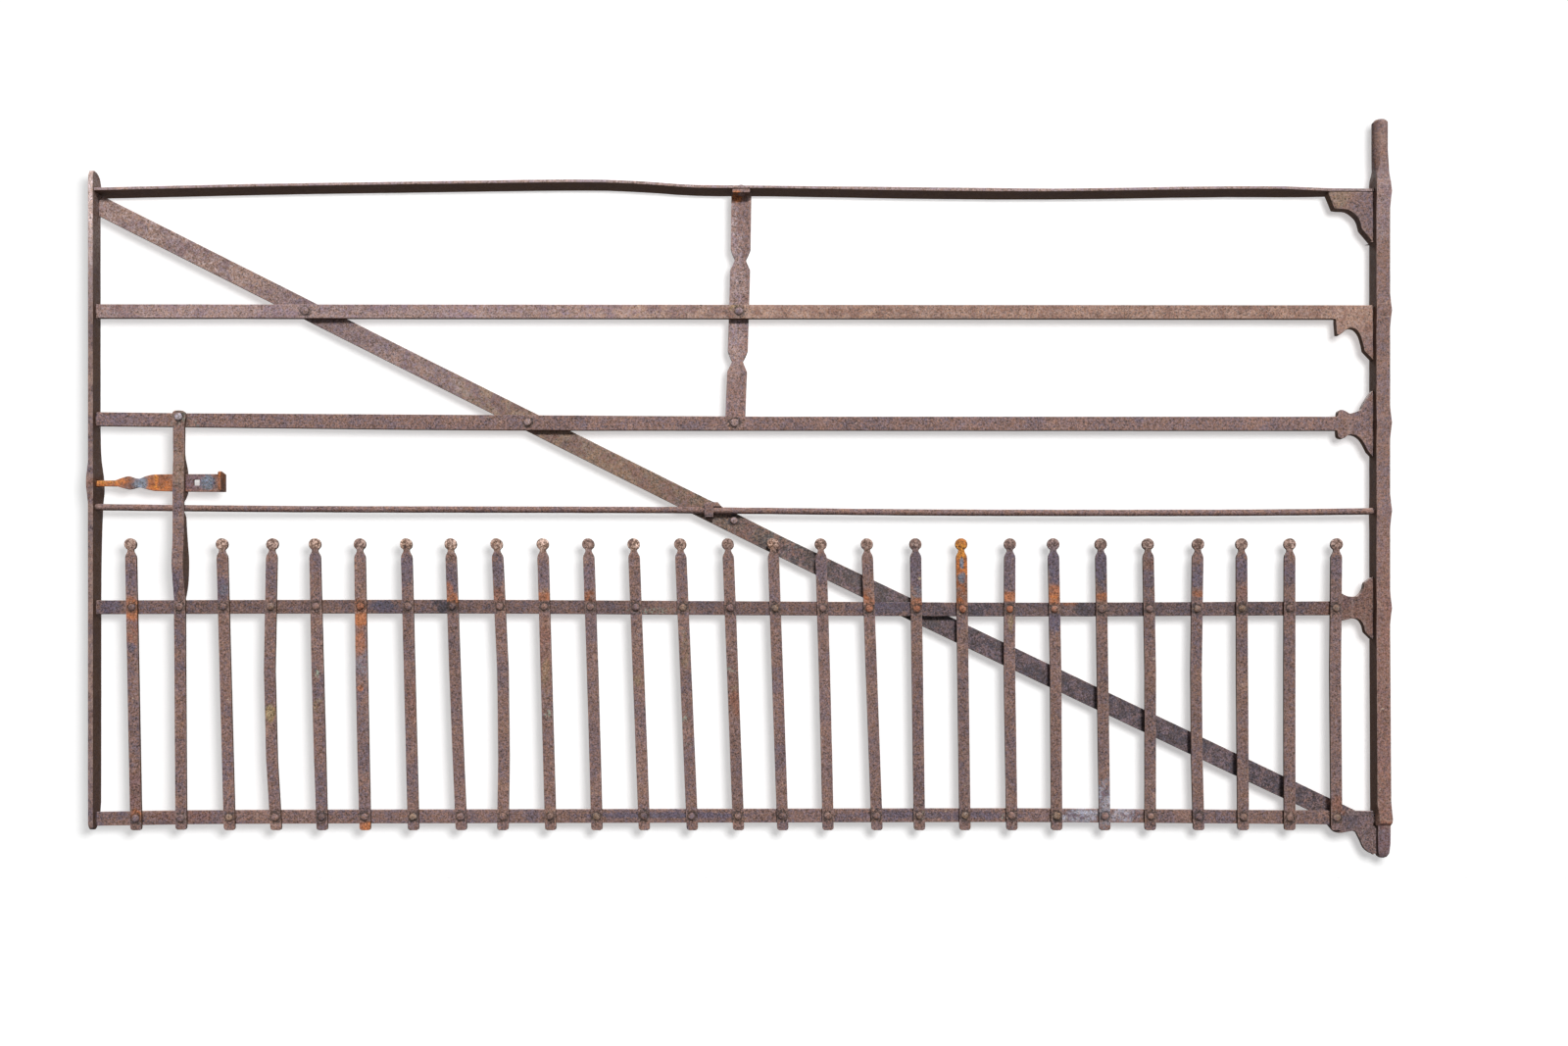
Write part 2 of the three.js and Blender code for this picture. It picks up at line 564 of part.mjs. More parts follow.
function makeCentreStrut() {
  const half = STRUT_HALF_WIDTH;
  const waist = STRUT_WAIST;
  const top = lineAt(LINES.top, STRUT_TOP_X) - TOP_RAIL_THICKNESS / 2 - GAP;
  const foot = 871;
  const lean = (z) => STRUT_TOP_X + (STRUT_FOOT_X - STRUT_TOP_X) * ((top - z) / (top - foot)) ** 1.5;
  const notch = (z) => [
    [half, z + 21, 1], [half - 3, z + 13], [waist + 2.5, z + 5], [waist, z, 1],
    [waist + 2, z - 5], [half - 4, z - 12], [half, z - 21, 1],
  ];
  const edge = smooth([
    [half, top - 1, 1], ...notch(1221), ...notch(1013), [half, foot + 3, 1], [half - 3, foot, 1],
  ]);
  const right = edge.map(([off, z]) => [lean(z) + off, z]);
  const left = edge.map(([off, z]) => [lean(z) - off, z]).reverse();
  const plate = frontPlate([...right, ...left], BRACE_FRONT, BRACE_BACK);
  const foldedFoot = block(STRUT_TOP_X - 18, STRUT_TOP_X + 18, -13, BRACE_BACK, top - STRUT_FOLD, top);
  const hole = [[0, top - 30], [HOLE_RADIUS, top - 30], [HOLE_RADIUS, top + 30], [0, top + 30]];
  addPiece('centre_strut', plate.add(foldedFoot)
    .subtract(shankHole(...RIVETS.strutUpper))
    .subtract(shankHole(...RIVETS.strutMiddle))
    .subtract(turned(hole, 'z', STRUT_TOP_X, STRUT_RIVET_Y, 0)));
  const under = top - STRUT_FOLD - GAP;
  const over = top + GAP + TOP_RAIL_THICKNESS + GAP + 0.6;
  addPiece('strut_foot_rivet', turned([
    [0, under - 3.5], [5, under - 2.8], [7.5, under - 1.2], [HEAD_RADIUS, under], [SHANK_RADIUS, under],
    [SHANK_RADIUS, over], [7, over], [5, over + 1.6], [0, over + 2],
  ], 'z', STRUT_TOP_X, STRUT_RIVET_Y, 0));
}

// ---------------------------------------------------------------- clip that ties the rod to the brace

const CLIP_X = -1368;
const CLIP_WIDTH = 18;
const CLIP_THICKNESS = 3;
const CLIP_LOW = 694;
const CLIP_HIGH = 723.5;
const CLIP_FRONT = ROD_Y - ROD_RADIUS - GAP - CLIP_THICKNESS;

// the clip's two legs, which pass through slots in the brace
function clipLegs(extra) {
  const x = [CLIP_X - CLIP_WIDTH / 2 - extra, CLIP_X + CLIP_WIDTH / 2 + extra];
  const y = [ROD_Y, BRACE_BACK + 5];
  const leg = (low, high) => block(...x, ...y, low - extra, high + extra);
  return leg(CLIP_LOW, CLIP_LOW + CLIP_THICKNESS).add(leg(CLIP_HIGH - CLIP_THICKNESS, CLIP_HIGH));
}

function makeClip() {
  const back = BRACE_BACK + GAP;
  const [rivetX, rivetZ] = RIVETS.clip;
  const x = [CLIP_X - CLIP_WIDTH / 2, CLIP_X + CLIP_WIDTH / 2];
  const bow = block(...x, CLIP_FRONT, CLIP_FRONT + CLIP_THICKNESS, CLIP_LOW + 3, CLIP_HIGH - 3)
    .add(block(...x, CLIP_FRONT + 1.2, ROD_Y, CLIP_LOW, CLIP_LOW + CLIP_THICKNESS))
    .add(block(...x, CLIP_FRONT + 1.2, ROD_Y, CLIP_HIGH - CLIP_THICKNESS, CLIP_HIGH));
  const legs = clipLegs(0).subtract(block(-1500, -1200, back + 3, 60, 600, 800));
  const tail = frontPlate([
    [x[0], CLIP_HIGH], [x[0], CLIP_LOW], [x[1], CLIP_LOW], [rivetX - 4, rivetZ - 11],
    [rivetX + 6, rivetZ - 10], [rivetX + 11, rivetZ], [rivetX + 6, rivetZ + 10], [x[1] + 8, CLIP_HIGH - 8], [x[1], CLIP_HIGH],
  ], back, back + 3);
  addPiece('rod_clip', bow.add(legs).add(tail).subtract(shankHole(rivetX, rivetZ)));
  const rodTop = lineAt(LINES.round, CLIP_X) + ROD_RADIUS + GAP;
  const wedgeTop = CLIP_HIGH - CLIP_THICKNESS - GAP;
  const wedge = frontPlate([
    [x[0] - 3, rodTop], [x[1] + 17, rodTop], [x[1] + 9, rodTop + 9], [x[1] + 1, rodTop + 9],
    [x[1] + 0.5, wedgeTop], [x[0] - 3, wedgeTop - 0.6],
  ], CLIP_FRONT + CLIP_THICKNESS + GAP, BRACE_FRONT - GAP);
  addPiece('clip_wedge', wedge);
  rivet('clip_rivet', rivetX, rivetZ, BRACE_FRONT, back + 3);
}

// ---------------------------------------------------------------- dog bars

function makeDogBar(name, bar, index) {
  const [x, z] = DOG_RAIL_RIVETS[index];
  const low = lineAt(LINES.bottom, x);
  const centre = (height) => {
    const along = (z - height) / (z - low);
    return x + bar.lean * along + 4 * bar.bow * along * (1 - along);
  };
  const half = BAR_WIDTH / 2;
  const ball = [-60, -30, 0, 30, 60, 90].map((degrees) => {
    const angle = degrees * Math.PI / 180;
    return [BALL_RADIUS * Math.cos(angle), BALL_HEIGHT + BALL_RADIUS * Math.sin(angle)];
  });
  const edge = [
    [half - 5, BAR_FOOT], [half - 1, BAR_FOOT + 2], [half, BAR_FOOT + 6], [half, 200], [half, 380],
    [half, BAR_SHOULDER], [half - 0.8, BAR_SHOULDER + 5], [half - 2.8, BAR_SHOULDER + 9],
    [NECK_WIDTH / 2, NECK_HEIGHT], ...ball,
  ];
  const right = edge.map(([off, height]) => [centre(height) + off, height]);
  const left = edge.slice(0, -1).map(([off, height]) => [centre(height) - off, height]).reverse();
  addPiece(name, frontPlate([...right, ...left], BAR_FRONT, BAR_BACK));
}

// ---------------------------------------------------------------- latch

function guideCentre(z) {
  const drop = Math.max(0, 770 - z) / (770 - GUIDE_FOOT);
  return GUIDE_X + GUIDE_LEAN * drop;
}

function makeLatchGuide() {
  const half = BAR_WIDTH / 2;
  const lug = [-30, 0, 30, 60, 90].map((degrees) => {
    const angle = degrees * Math.PI / 180;
    return [GUIDE_LUG_RADIUS * Math.cos(angle), 896 + GUIDE_LUG_RADIUS * Math.sin(angle)];
  });
  const edge = [
    [half - 5, GUIDE_FOOT], [half - 1, GUIDE_FOOT + 2], [half, GUIDE_FOOT + 6], [half, 300], [half, 520],
    [half, 700], [half, 770], [half, 872], ...lug,
  ];
  const right = edge.map(([off, z]) => [guideCentre(z) + off, z]);
  const left = edge.slice(0, -1).map(([off, z]) => [guideCentre(z) - off, z]).reverse();
  const face = frontPlate([...right, ...left], -40, 30);
  const frontEdge = smooth([
    [BAR_FRONT, GUIDE_FOOT, 1], [BAR_FRONT, 528, 1], [-15, 545], [-21, 585], [-21.5, 610], [-17, 650],
    [-15.8, 690], [-15.8, 725], [-15, 765], [-14, 795], [BAR_FRONT, 820], [-13.4, 868], [BAR_FRONT, 885, 1],
    [BAR_FRONT, GUIDE_TOP, 1],
  ]);
  const backEdge = smooth([
    [BAR_BACK, GUIDE_TOP, 1], [BAR_BACK, 874, 1], [-5.5, 860], [BAR_BACK, 822], [2, 800], [6.5, 788],
    [7.5, 765], [6, 743, 1], [-3, 731, 1], [GUIDE_AT_ROD, 724, 1], [GUIDE_AT_ROD, 703, 1], [-3, 695, 1],
    [2, 655], [8, 612], [8, 585], [4, 555], [-3, 535, 1], [BAR_BACK, 529, 1], [BAR_BACK, GUIDE_FOOT, 1],
  ]);
  const side = sidePlate([...frontEdge, ...backEdge], GUIDE_X - 40, GUIDE_X + 40);
  const play = SLOT_CLEARANCE;
  const slot = block(
    GUIDE_X - 40, GUIDE_X + 40, BOLT_FRONT - play, BOLT_BACK + play,
    BOLT_HEIGHT - BOLT_BELOW - play, BOLT_HEIGHT + BOLT_ABOVE + play,
  );
  addPiece('latch_guide', face.intersect(side).subtract(slot)
    .subtract(shankHole(...RIVETS.guideUpper))
    .subtract(shankHole(...RIVETS.guideDog))
    .subtract(shankHole(...RIVETS.guideBottom)));
}

function makeLatchBolt() {
  const z = BOLT_HEIGHT;
  const end = -2353.5;
  const shank = end - 6;
  const upper = smooth([
    [BOLT_TIP, z + 2, 1], [BOLT_TIP + 5, z + 4, 1], [-2578, z + 4.5, 1], [-2566, z + 9], [-2551, z + 13],
    [-2541, z + 10.5], [-2529, z + 8], [-2516, z + 13], [-2500, z + 16.5, 1], [-2450, z + BOLT_ABOVE, 1],
    [shank, z + BOLT_ABOVE, 1],
  ]);
  const lower = smooth([
    [shank, z - BOLT_BELOW, 1], [-2450, z - BOLT_BELOW + 0.6, 1], [-2500, z - 16.8, 1], [-2516, z - 13.5],
    [-2529, z - 9.5], [-2541, z - 12.5], [-2551, z - 14], [-2564, z - 11], [-2574, z - 8, 1],
    [BOLT_TIP + 6, z - 7.5, 1], [BOLT_TIP, z - 5, 1],
  ]);
  const plate = frontPlate([...upper, ...lower], BOLT_FRONT, BOLT_BACK);
  const finger = sidePlate([
    [BOLT_BACK, z - BOLT_BELOW], [BOLT_BACK, z + BOLT_ABOVE], [BOLT_FRONT - 2, z + 18.5], [-20, z + 21],
    [-25, z + 19], [-26, z + 12], [-26, z - 12], [-24, z - 18], [BOLT_FRONT, z - BOLT_BELOW],
  ], shank - 0.5, end);
  const pinHole = block(-2418, -2406, -20, 20, z - 6, z + 6);
  addPiece('latch_bolt', plate.add(finger).subtract(pinHole), brightRust);
}

// ---------------------------------------------------------------- assembly

makeHeelStile();
makeHeadStile();
makeTopRail();
makeTopKnee();
makeFlatRails();
makeRoundRail();
makeBrace();
makeCentreStrut();
makeClip();
DOG_BARS.forEach((bar, index) => {
  if (bar) makeDogBar(`dog_bar_${String(index + 1).padStart(2, '0')}`, bar, index);
});
makeLatchGuide();
makeLatchBolt();

rivet('brace_rivet_upper', ...RIVETS.braceUpper, RAIL_FRONT, BRACE_BACK);
rivet('brace_rivet_middle', ...RIVETS.braceMiddle, RAIL_FRONT, BRACE_BACK);
rivet('strut_rivet_upper', ...RIVETS.strutUpper, RAIL_FRONT, BRACE_BACK);
rivet('strut_rivet_middle', ...RIVETS.strutMiddle, RAIL_FRONT, BRACE_BACK);
rivet('guide_rivet_upper', ...RIVETS.guideUpper, BAR_FRONT, RAIL_BACK);
rivet('guide_rivet_dog', ...RIVETS.guideDog, BAR_FRONT, RAIL_BACK);
rivet('guide_rivet_bottom', ...RIVETS.guideBottom, BAR_FRONT, RAIL_BACK);

export default gate;
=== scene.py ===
"""A blacksmith-made wrought-iron gate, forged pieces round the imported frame."""

import math
import random

import bmesh
import bpy
import numpy as np
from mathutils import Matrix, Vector, noise


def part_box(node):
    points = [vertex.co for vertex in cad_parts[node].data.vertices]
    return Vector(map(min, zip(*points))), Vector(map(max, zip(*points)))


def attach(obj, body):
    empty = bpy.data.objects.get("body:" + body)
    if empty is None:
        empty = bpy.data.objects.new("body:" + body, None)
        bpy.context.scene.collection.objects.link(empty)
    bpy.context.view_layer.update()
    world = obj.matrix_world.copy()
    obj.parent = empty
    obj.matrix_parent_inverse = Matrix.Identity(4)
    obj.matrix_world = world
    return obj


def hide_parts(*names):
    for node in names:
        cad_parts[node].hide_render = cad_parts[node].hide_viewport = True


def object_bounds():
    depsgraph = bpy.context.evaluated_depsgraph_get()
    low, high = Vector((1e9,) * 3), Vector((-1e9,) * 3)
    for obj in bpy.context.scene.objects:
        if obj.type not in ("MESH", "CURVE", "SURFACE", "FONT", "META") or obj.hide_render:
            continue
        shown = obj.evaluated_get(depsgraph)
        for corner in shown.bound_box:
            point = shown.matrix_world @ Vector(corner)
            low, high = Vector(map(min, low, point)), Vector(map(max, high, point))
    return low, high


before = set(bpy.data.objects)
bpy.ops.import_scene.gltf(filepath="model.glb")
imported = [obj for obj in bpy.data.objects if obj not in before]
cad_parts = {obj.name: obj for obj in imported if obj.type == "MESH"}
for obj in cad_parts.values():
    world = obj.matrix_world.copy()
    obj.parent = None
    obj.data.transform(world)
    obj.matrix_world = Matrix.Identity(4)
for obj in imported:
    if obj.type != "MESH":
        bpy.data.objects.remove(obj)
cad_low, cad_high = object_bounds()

MM = 0.001
DOG_BARS = sorted(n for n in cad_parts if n.startswith("dog_bar_"))

# places and sizes of the CAD's, in metres
HEAD_FACE = -2.6165  # beside the head stile's inner face; only the rails' tenons reach past it
HEEL_FACE = -0.0146  # beside the heel stile's inner face
KNEE_END = -0.108  # from here to the head stile a flat rail has no knee
BAR_SHOULDER = 0.612  # a dog bar is a plain strap up to its shoulder, just below this
MID_PANEL = 0.3  # halfway up between the two rails that the dog bars cross
RAIL_THICKNESS = 10 * MM
HEAD_RISE = 4 * MM  # height of a CAD rivet's head

WAVES = 11  # scale of the long waves in a hammered face, per metre
DENTS = 46  # scale of its dents
SHARP = math.radians(34)  # an edge that turns by more than this is an arris
WEAR_STARTS, WEAR_FULL = 0.25, 0.6  # how far a face turns from its neighbours, in radians
SMALL_FACE = 60 * MM * MM  # a face larger than this is no arris


# ---------------------------------------------------------------- meshes

def new_object(name, mesh, node=None, body="gate_frame"):
    """A smooth piece that rides on a body of the frame, and stands for a CAD node if one is given."""
    obj = bpy.data.objects.new(name, mesh)
    bpy.context.scene.collection.objects.link(obj)
    mesh.polygons.foreach_set("use_smooth", [True] * len(mesh.polygons))
    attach(obj, body)
    if node:
        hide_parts(node)
    return obj


def slices(bm, axis, positions):
    """Cuts every face that crosses each plane, so that it can bend there."""
    normal = [0, 0, 0]
    normal[axis] = 1
    for at in positions:
        point = [0, 0, 0]
        point[axis] = at
        geom = bm.verts[:] + bm.edges[:] + bm.faces[:]
        bmesh.ops.bisect_plane(bm, geom=geom, dist=1e-6, plane_co=point, plane_no=normal)


def steps(low, high, pitch):
    """Evenly spaced places between low and high, about pitch apart."""
    count = max(int((high - low) / pitch), 1)
    return [low + (high - low) * (i + 0.5) / count for i in range(count)]


def hammered(co, size, seed):
    """How far a point lies in from the true face: long waves, and the dents of the hammer."""
    shifted = co + Vector((seed * 3.1, seed * 1.7, seed * 0.9))
    long_wave = noise.noise(shifted * WAVES)
    dent = noise.noise(shifted * DENTS)
    return -size * (0.5 + 0.35 * long_wave + 0.3 * dent)


def forged(node, arris=1.2, pitch=(16, 60, 16), wander=0.45, body="gate_frame",
           shape=None, cuts=(), corner=0):
    """A copy of a CAD node with worn arrises and faces that are a little out of true.

    In mm: arris is the width of its worn edges, pitch the spacing of its cuts along x, y and z, wander
    how far its faces are out of true, and corner how much the corners of its outline are rounded, as
    seen from the front. shape moves each point, and cuts are more cuts, as (axis, places in metres).
    """
    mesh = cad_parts[node].data.copy()
    mesh.materials.clear()
    bm = bmesh.new()
    bm.from_mesh(mesh)
    bmesh.ops.remove_doubles(bm, verts=bm.verts, dist=1e-5)
    bmesh.ops.dissolve_limit(bm, angle_limit=math.radians(0.7), verts=bm.verts, edges=bm.edges)
    if corner:
        across = [
            e for e in bm.edges if e.is_manifold and e.calc_face_angle() > math.radians(40)
            and abs((e.verts[0].co - e.verts[1].co).normalized().y) > 0.99
        ]
        bmesh.ops.bevel(
            bm, geom=across, offset=corner * MM, offset_type="OFFSET", segments=3, profile=0.5,
            affect="EDGES", clamp_overlap=True,
        )
    edges = [e for e in bm.edges if e.is_manifold and e.calc_face_angle() > SHARP]
    bmesh.ops.bevel(
        bm, geom=edges, offset=arris * MM, offset_type="OFFSET", segments=2, profile=0.5,
        affect="EDGES", clamp_overlap=False,
    )
    low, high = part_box(node)
    for axis in range(3):
        if high[axis] - low[axis] > 1.5 * pitch[axis] * MM:
            slices(bm, axis, steps(low[axis], high[axis], pitch[axis] * MM))
    for axis, positions in cuts:
        slices(bm, axis, positions)
    bmesh.ops.triangulate(bm, faces=bm.faces)
    bmesh.ops.remove_doubles(bm, verts=bm.verts, dist=2e-5)
    bm.normal_update()
    seed = sum(map(ord, node)) % 97
    for v in bm.verts:
        v.co += v.normal * hammered(v.co, wander * MM, seed)
        if shape:
            v.co = shape(v.co)
    bm.normal_update()
    bm.to_mesh(mesh)
    bm.free()
    obj = new_object(node + "_iron", mesh, node, body)
    mark_arrises(mesh)
    smooth = obj.modifiers.new("normals", "WEIGHTED_NORMAL")
    smooth.weight = 60
    return obj


def mark_arrises(mesh):
    """Writes how exposed each face corner is: 1 on a worn arris, 0 on a flat."""
    bm = bmesh.new()
    bm.from_mesh(mesh)
    exposed = np.zeros(len(bm.faces), np.float32)
    for i, face in enumerate(bm.faces):
        turn = max((e.calc_face_angle_signed(0) for e in face.edges), default=0)
        if face.calc_area() < SMALL_FACE:
            exposed[i] = min(max((turn - WEAR_STARTS) / (WEAR_FULL - WEAR_STARTS), 0), 1)
    bm.free()
    worn = mesh.attributes.new("arris", "FLOAT", "CORNER")
    totals = np.zeros(len(mesh.polygons), np.int32)
    mesh.polygons.foreach_get("loop_total", totals)
    worn.data.foreach_set("value", np.repeat(exposed, totals))


def lathe(rings, sides, x, z):
    """Rings of points round an axis along Y through x and z. Each ring is (radius, y, swell), where
    swell says how far each of its sides stands out, as a share of the radius."""
    points = []
    for radius, y, swell in rings:
        for k in range(sides):
            angle = 2 * math.pi * k / sides
            r = radius * (1 + swell[k])
            points.append((x + r * math.cos(angle), y, z + r * math.sin(angle)))
    return points


def tube(name, points, sides):
    """A closed mesh through rings of points, sides to a ring, with a flat face on either end."""
    rings = len(points) // sides
    faces = []
    for i in range(rings - 1):
        for k in range(sides):
            j = (k + 1) % sides
            faces.append((i * sides + k, i * sides + j, (i + 1) * sides + j, (i + 1) * sides + k))
    faces.append(tuple(range(sides))[::-1])
    faces.append(tuple((rings - 1) * sides + k for k in range(sides)))
    mesh = bpy.data.meshes.new(name)
    mesh.from_pydata(points, [], faces)
    bm = bmesh.new()
    bm.from_mesh(mesh)
    bmesh.ops.recalc_face_normals(bm, faces=bm.faces)
    bm.to_mesh(mesh)
    bm.free()
    return mesh


def rivet(name, x, z, front, back, radius, rise, seed, node=None):
    """A rivet along Y: a hammered dome on each face of the work, and the shank between them. front
    and back are the work's two faces; radius and rise are a dome's size in mm."""
    rng = random.Random(seed * 7919 + 13)
    sides = 20
    shank = 4 * MM
    lobes = [rng.uniform(-0.05, 0.05) for _ in range(3)]
    phase = rng.uniform(0, 6.28)

    def swell(scale):
        """How unround the dome is, side by side."""
        return [
            scale * sum(
                amount * math.cos((n + 2) * 2 * math.pi * k / sides + phase * (n + 1))
                for n, amount in enumerate(lobes)
            ) for k in range(sides)
        ]

    # from its crown outwards, as shares of its radius and of its rise
    dome = [(0.12, 1.0), (0.42, 0.95), (0.68, 0.8), (0.88, 0.55), (0.985, 0.25), (1.0, 0.04), (0.97, 0.0)]
    head = radius * MM * rng.uniform(0.94, 1.05)
    high = rise * MM * rng.uniform(0.85, 1.1)
    rings = [(head * r, front - high * h, swell(1.0)) for r, h in dome]
    rings += [(shank, front, swell(0)), (shank, back, swell(0))]
    rings += [(head * r, back + high * 0.9 * h, swell(0.8)) for r, h in reversed(dome)]
    tilt = (rng.uniform(-0.09, 0.09), rng.uniform(-0.09, 0.09))
    leaned = []
    for vx, vy, vz in lathe(rings, sides, x, z):
        lean = tilt[0] * (vx - x) + tilt[1] * (vz - z)
        outside = (front - vy) / high if vy < front else (vy - back) / high if vy > back else 0
        leaned.append((vx, vy + lean * min(outside, 1), vz))
    mesh = tube(name, leaned, sides)
    obj = new_object(name, mesh, node)
    mark_arrises(mesh)
    return obj


# ---------------------------------------------------------------- what the CAD says of places

def node_points(node):
    """Every point of a CAD node's mesh, one row each."""
    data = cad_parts[node].data
    co = np.zeros(len(data.vertices) * 3)
    data.vertices.foreach_get("co", co)
    return co.reshape(-1, 3)


def bar_centre(node, z):
    """The middle of a dog bar at height z, from the heights at which its CAD outline has points."""
    co = node_points(node)
    heights = sorted({round(v, 4) for v in co[:, 2] if v < BAR_SHOULDER})
    middles = []
    for h in heights:
        xs = co[np.abs(co[:, 2] - h) < 1e-4, 0]
        middles.append((xs.min() + xs.max()) / 2)
    return float(np.interp(z, heights, middles))


def rail_middle(node, x):
    """Height of a flat rail's centre line at x, clear of its knee and tenons."""
    co = node_points(node)
    co = co[(co[:, 0] < KNEE_END) & (co[:, 0] > HEAD_FACE)]
    middle = co[:, 2].mean()
    short_of_edge = 9 * MM
    lines = []
    for side in (1, -1):
        edge = co[side * (co[:, 2] - middle) > short_of_edge]
        edge = edge[np.argsort(edge[:, 0])]
        lines.append(np.interp(x, edge[:, 0], edge[:, 2]))
    return float(sum(lines) / 2)


# ---------------------------------------------------------------- forging

pieces = {}


def section(node, low, high):
    """The box that a node's CAD points fill between two heights: lowest and highest x, then y."""
    co = node_points(node)
    co = co[(co[:, 2] > low - MM) & (co[:, 2] < high + MM)]
    return np.array([co[:, 0].min(), co[:, 0].max(), co[:, 1].min(), co[:, 1].max()])


# heights on the heel stile, in metres
SQUARE_PART = (1.34, 1.38)  # it is measured here, where it is still square
SQUARE_TOP = 1.398  # it stays square up to here
SPIGOT_FOOT = 1.442  # and is a round spigot from here up
FADE = 0.012  # the rounding comes in over this height, below the top of the square
square_section = section("heel_stile", *SQUARE_PART)
spigot_section = section("heel_stile", SPIGOT_FOOT - MM, SPIGOT_FOOT + MM)


def round_spigot(v):
    """Rounds the heel above its square part, where the CAD only hulls the square to the spigot."""
    if v.z < SQUARE_TOP - FADE:
        return v
    share = min(max((v.z - SQUARE_TOP) / (SPIGOT_FOOT - SQUARE_TOP), 0), 1)
    left, right, front, back = square_section * (1 - share) + spigot_section * share
    centre_x, centre_y = (left + right) / 2, (front + back) / 2
    wide, deep = (right - left) / 2, (back - front) / 2
    dx, dy = v.x - centre_x, v.y - centre_y
    away = math.hypot(dx / wide, dy / deep)
    if away > 0.9:
        fit = min(max((v.z - SQUARE_TOP + FADE) / FADE, 0), 1)
        scale = 1 + (0.985 / away - 1) * fit
        v.x, v.y = centre_x + dx * scale, centre_y + dy * scale
    return v


STRUT_END = 0.8765


def raised_foot(v):
    """Ends the strut a little higher, so that it stays hidden behind the middle rail."""
    if v.z < STRUT_END:
        v.z = STRUT_END - (STRUT_END - v.z) * 0.1
    return v


LUG_X = -2.4445  # about the middle of the guide's lug
LUG_Z = 0.896


def square_lug(v):
    """Fills out the corners of the guide's lug, which is a flattened end and no true circle."""
    dx, dz = v.x - LUG_X, v.z - LUG_Z
    if dz > 0 and abs(dx) > MM:
        power = (abs(dx) ** 4 + dz ** 4) ** 0.25
        v.x += dx * (math.hypot(dx, dz) / power - 1)
        v.z += dz * (math.hypot(dx, dz) / power - 1)
    return v


pieces["heel_stile"] = forged(
    "heel_stile", arris=1.6, pitch=(60, 60, 12), wander=0.5, shape=round_spigot,
)
pieces["head_stile"] = forged("head_stile", arris=1.6, pitch=(60, 60, 14), wander=0.5)
pieces["top_rail"] = forged("top_rail", arris=1.1, pitch=(14, 14, 60))
for node in ("upper_rail", "middle_rail", "dog_rail", "bottom_rail"):
    pieces[node] = forged(node, pitch=(14, 60, 60), corner=2.5)
pieces["brace"] = forged("brace", pitch=(12, 60, 900))
pieces["centre_strut"] = forged("centre_strut", pitch=(14, 60, 14), shape=raised_foot)
pieces["top_knee"] = forged("top_knee", pitch=(14, 60, 14), corner=2.5)
pieces["rod_clip"] = forged("rod_clip", arris=0.6, pitch=(8, 60, 8), wander=0.2)
pieces["clip_wedge"] = forged("clip_wedge", arris=0.7, pitch=(6, 60, 6), wander=0.3)
pieces["latch_guide"] = forged("latch_guide", pitch=(60, 60, 10), shape=square_lug)
pieces["latch_bolt"] = forged(
    "latch_bolt", arris=0.9, pitch=(8, 60, 60), wander=0.2, body="latch",
)

BALL_CAP = 14 * MM  # the top of a dog bar's ball, down to just past its widest
FACET = 30  # degrees that each facet of that ball turns in the CAD


def dog_bar(node):
    """A dog bar; the flattened ball on its top is made round and crowned on both faces."""
    low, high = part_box(node)
    co = node_points(node)
    top = co[co[:, 2] > high[2] - 1e-5]
    cap = co[co[:, 2] > high[2] - BALL_CAP]
    radius = (cap[:, 0].max() - cap[:, 0].min()) / 2
    ball = Vector((float(top[:, 0].mean()), (low[1] + high[1]) / 2, high[2] - radius))
    rng = random.Random(node)
    crown = rng.uniform(1.2, 2.2) * MM
    neck = ball.z - 0.9 * radius

    def shape(v):
        """Moves a point of the ball; the change fades out just above the neck."""
        reach = math.hypot(v.x - ball.x, v.z - ball.z)
        if v.z > neck and reach < 1.3 * radius:
            angle = math.degrees(math.atan2(v.z - ball.z, v.x - ball.x)) % FACET - FACET / 2
            to_circle = math.cos(math.radians(angle)) / math.cos(math.radians(FACET / 2))
            fit = min(max((v.z - neck) / (0.35 * radius), 0), 1)
            grow = 1 + (to_circle - 1) * fit
            v.x = ball.x + (v.x - ball.x) * grow
            v.z = ball.z + (v.z - ball.z) * grow
            dome = max(1 - (reach / radius) ** 2, 0) * crown * fit
            outward = 1 if v.y > ball.y else -1
            dent = noise.noise(Vector((v.x, v.z, crown * 50)) * 170) * 0.7 * MM * min(dome / MM, 1)
            v.y += (dome - abs(dent)) * outward
        return v

    near = [ball.z + radius * f for f in (-0.8, -0.6, -0.4, -0.2, 0, 0.2, 0.4, 0.6, 0.8)]
    across = [ball.x + radius * f for f in (-0.75, -0.5, -0.25, 0, 0.25, 0.5, 0.75)]
    return forged(
        node, arris=1.1, pitch=(90, 60, 14), wander=0.4, shape=shape,
        cuts=((2, near), (0, across)),
    )


for node in DOG_BARS:
    pieces[node] = dog_bar(node)


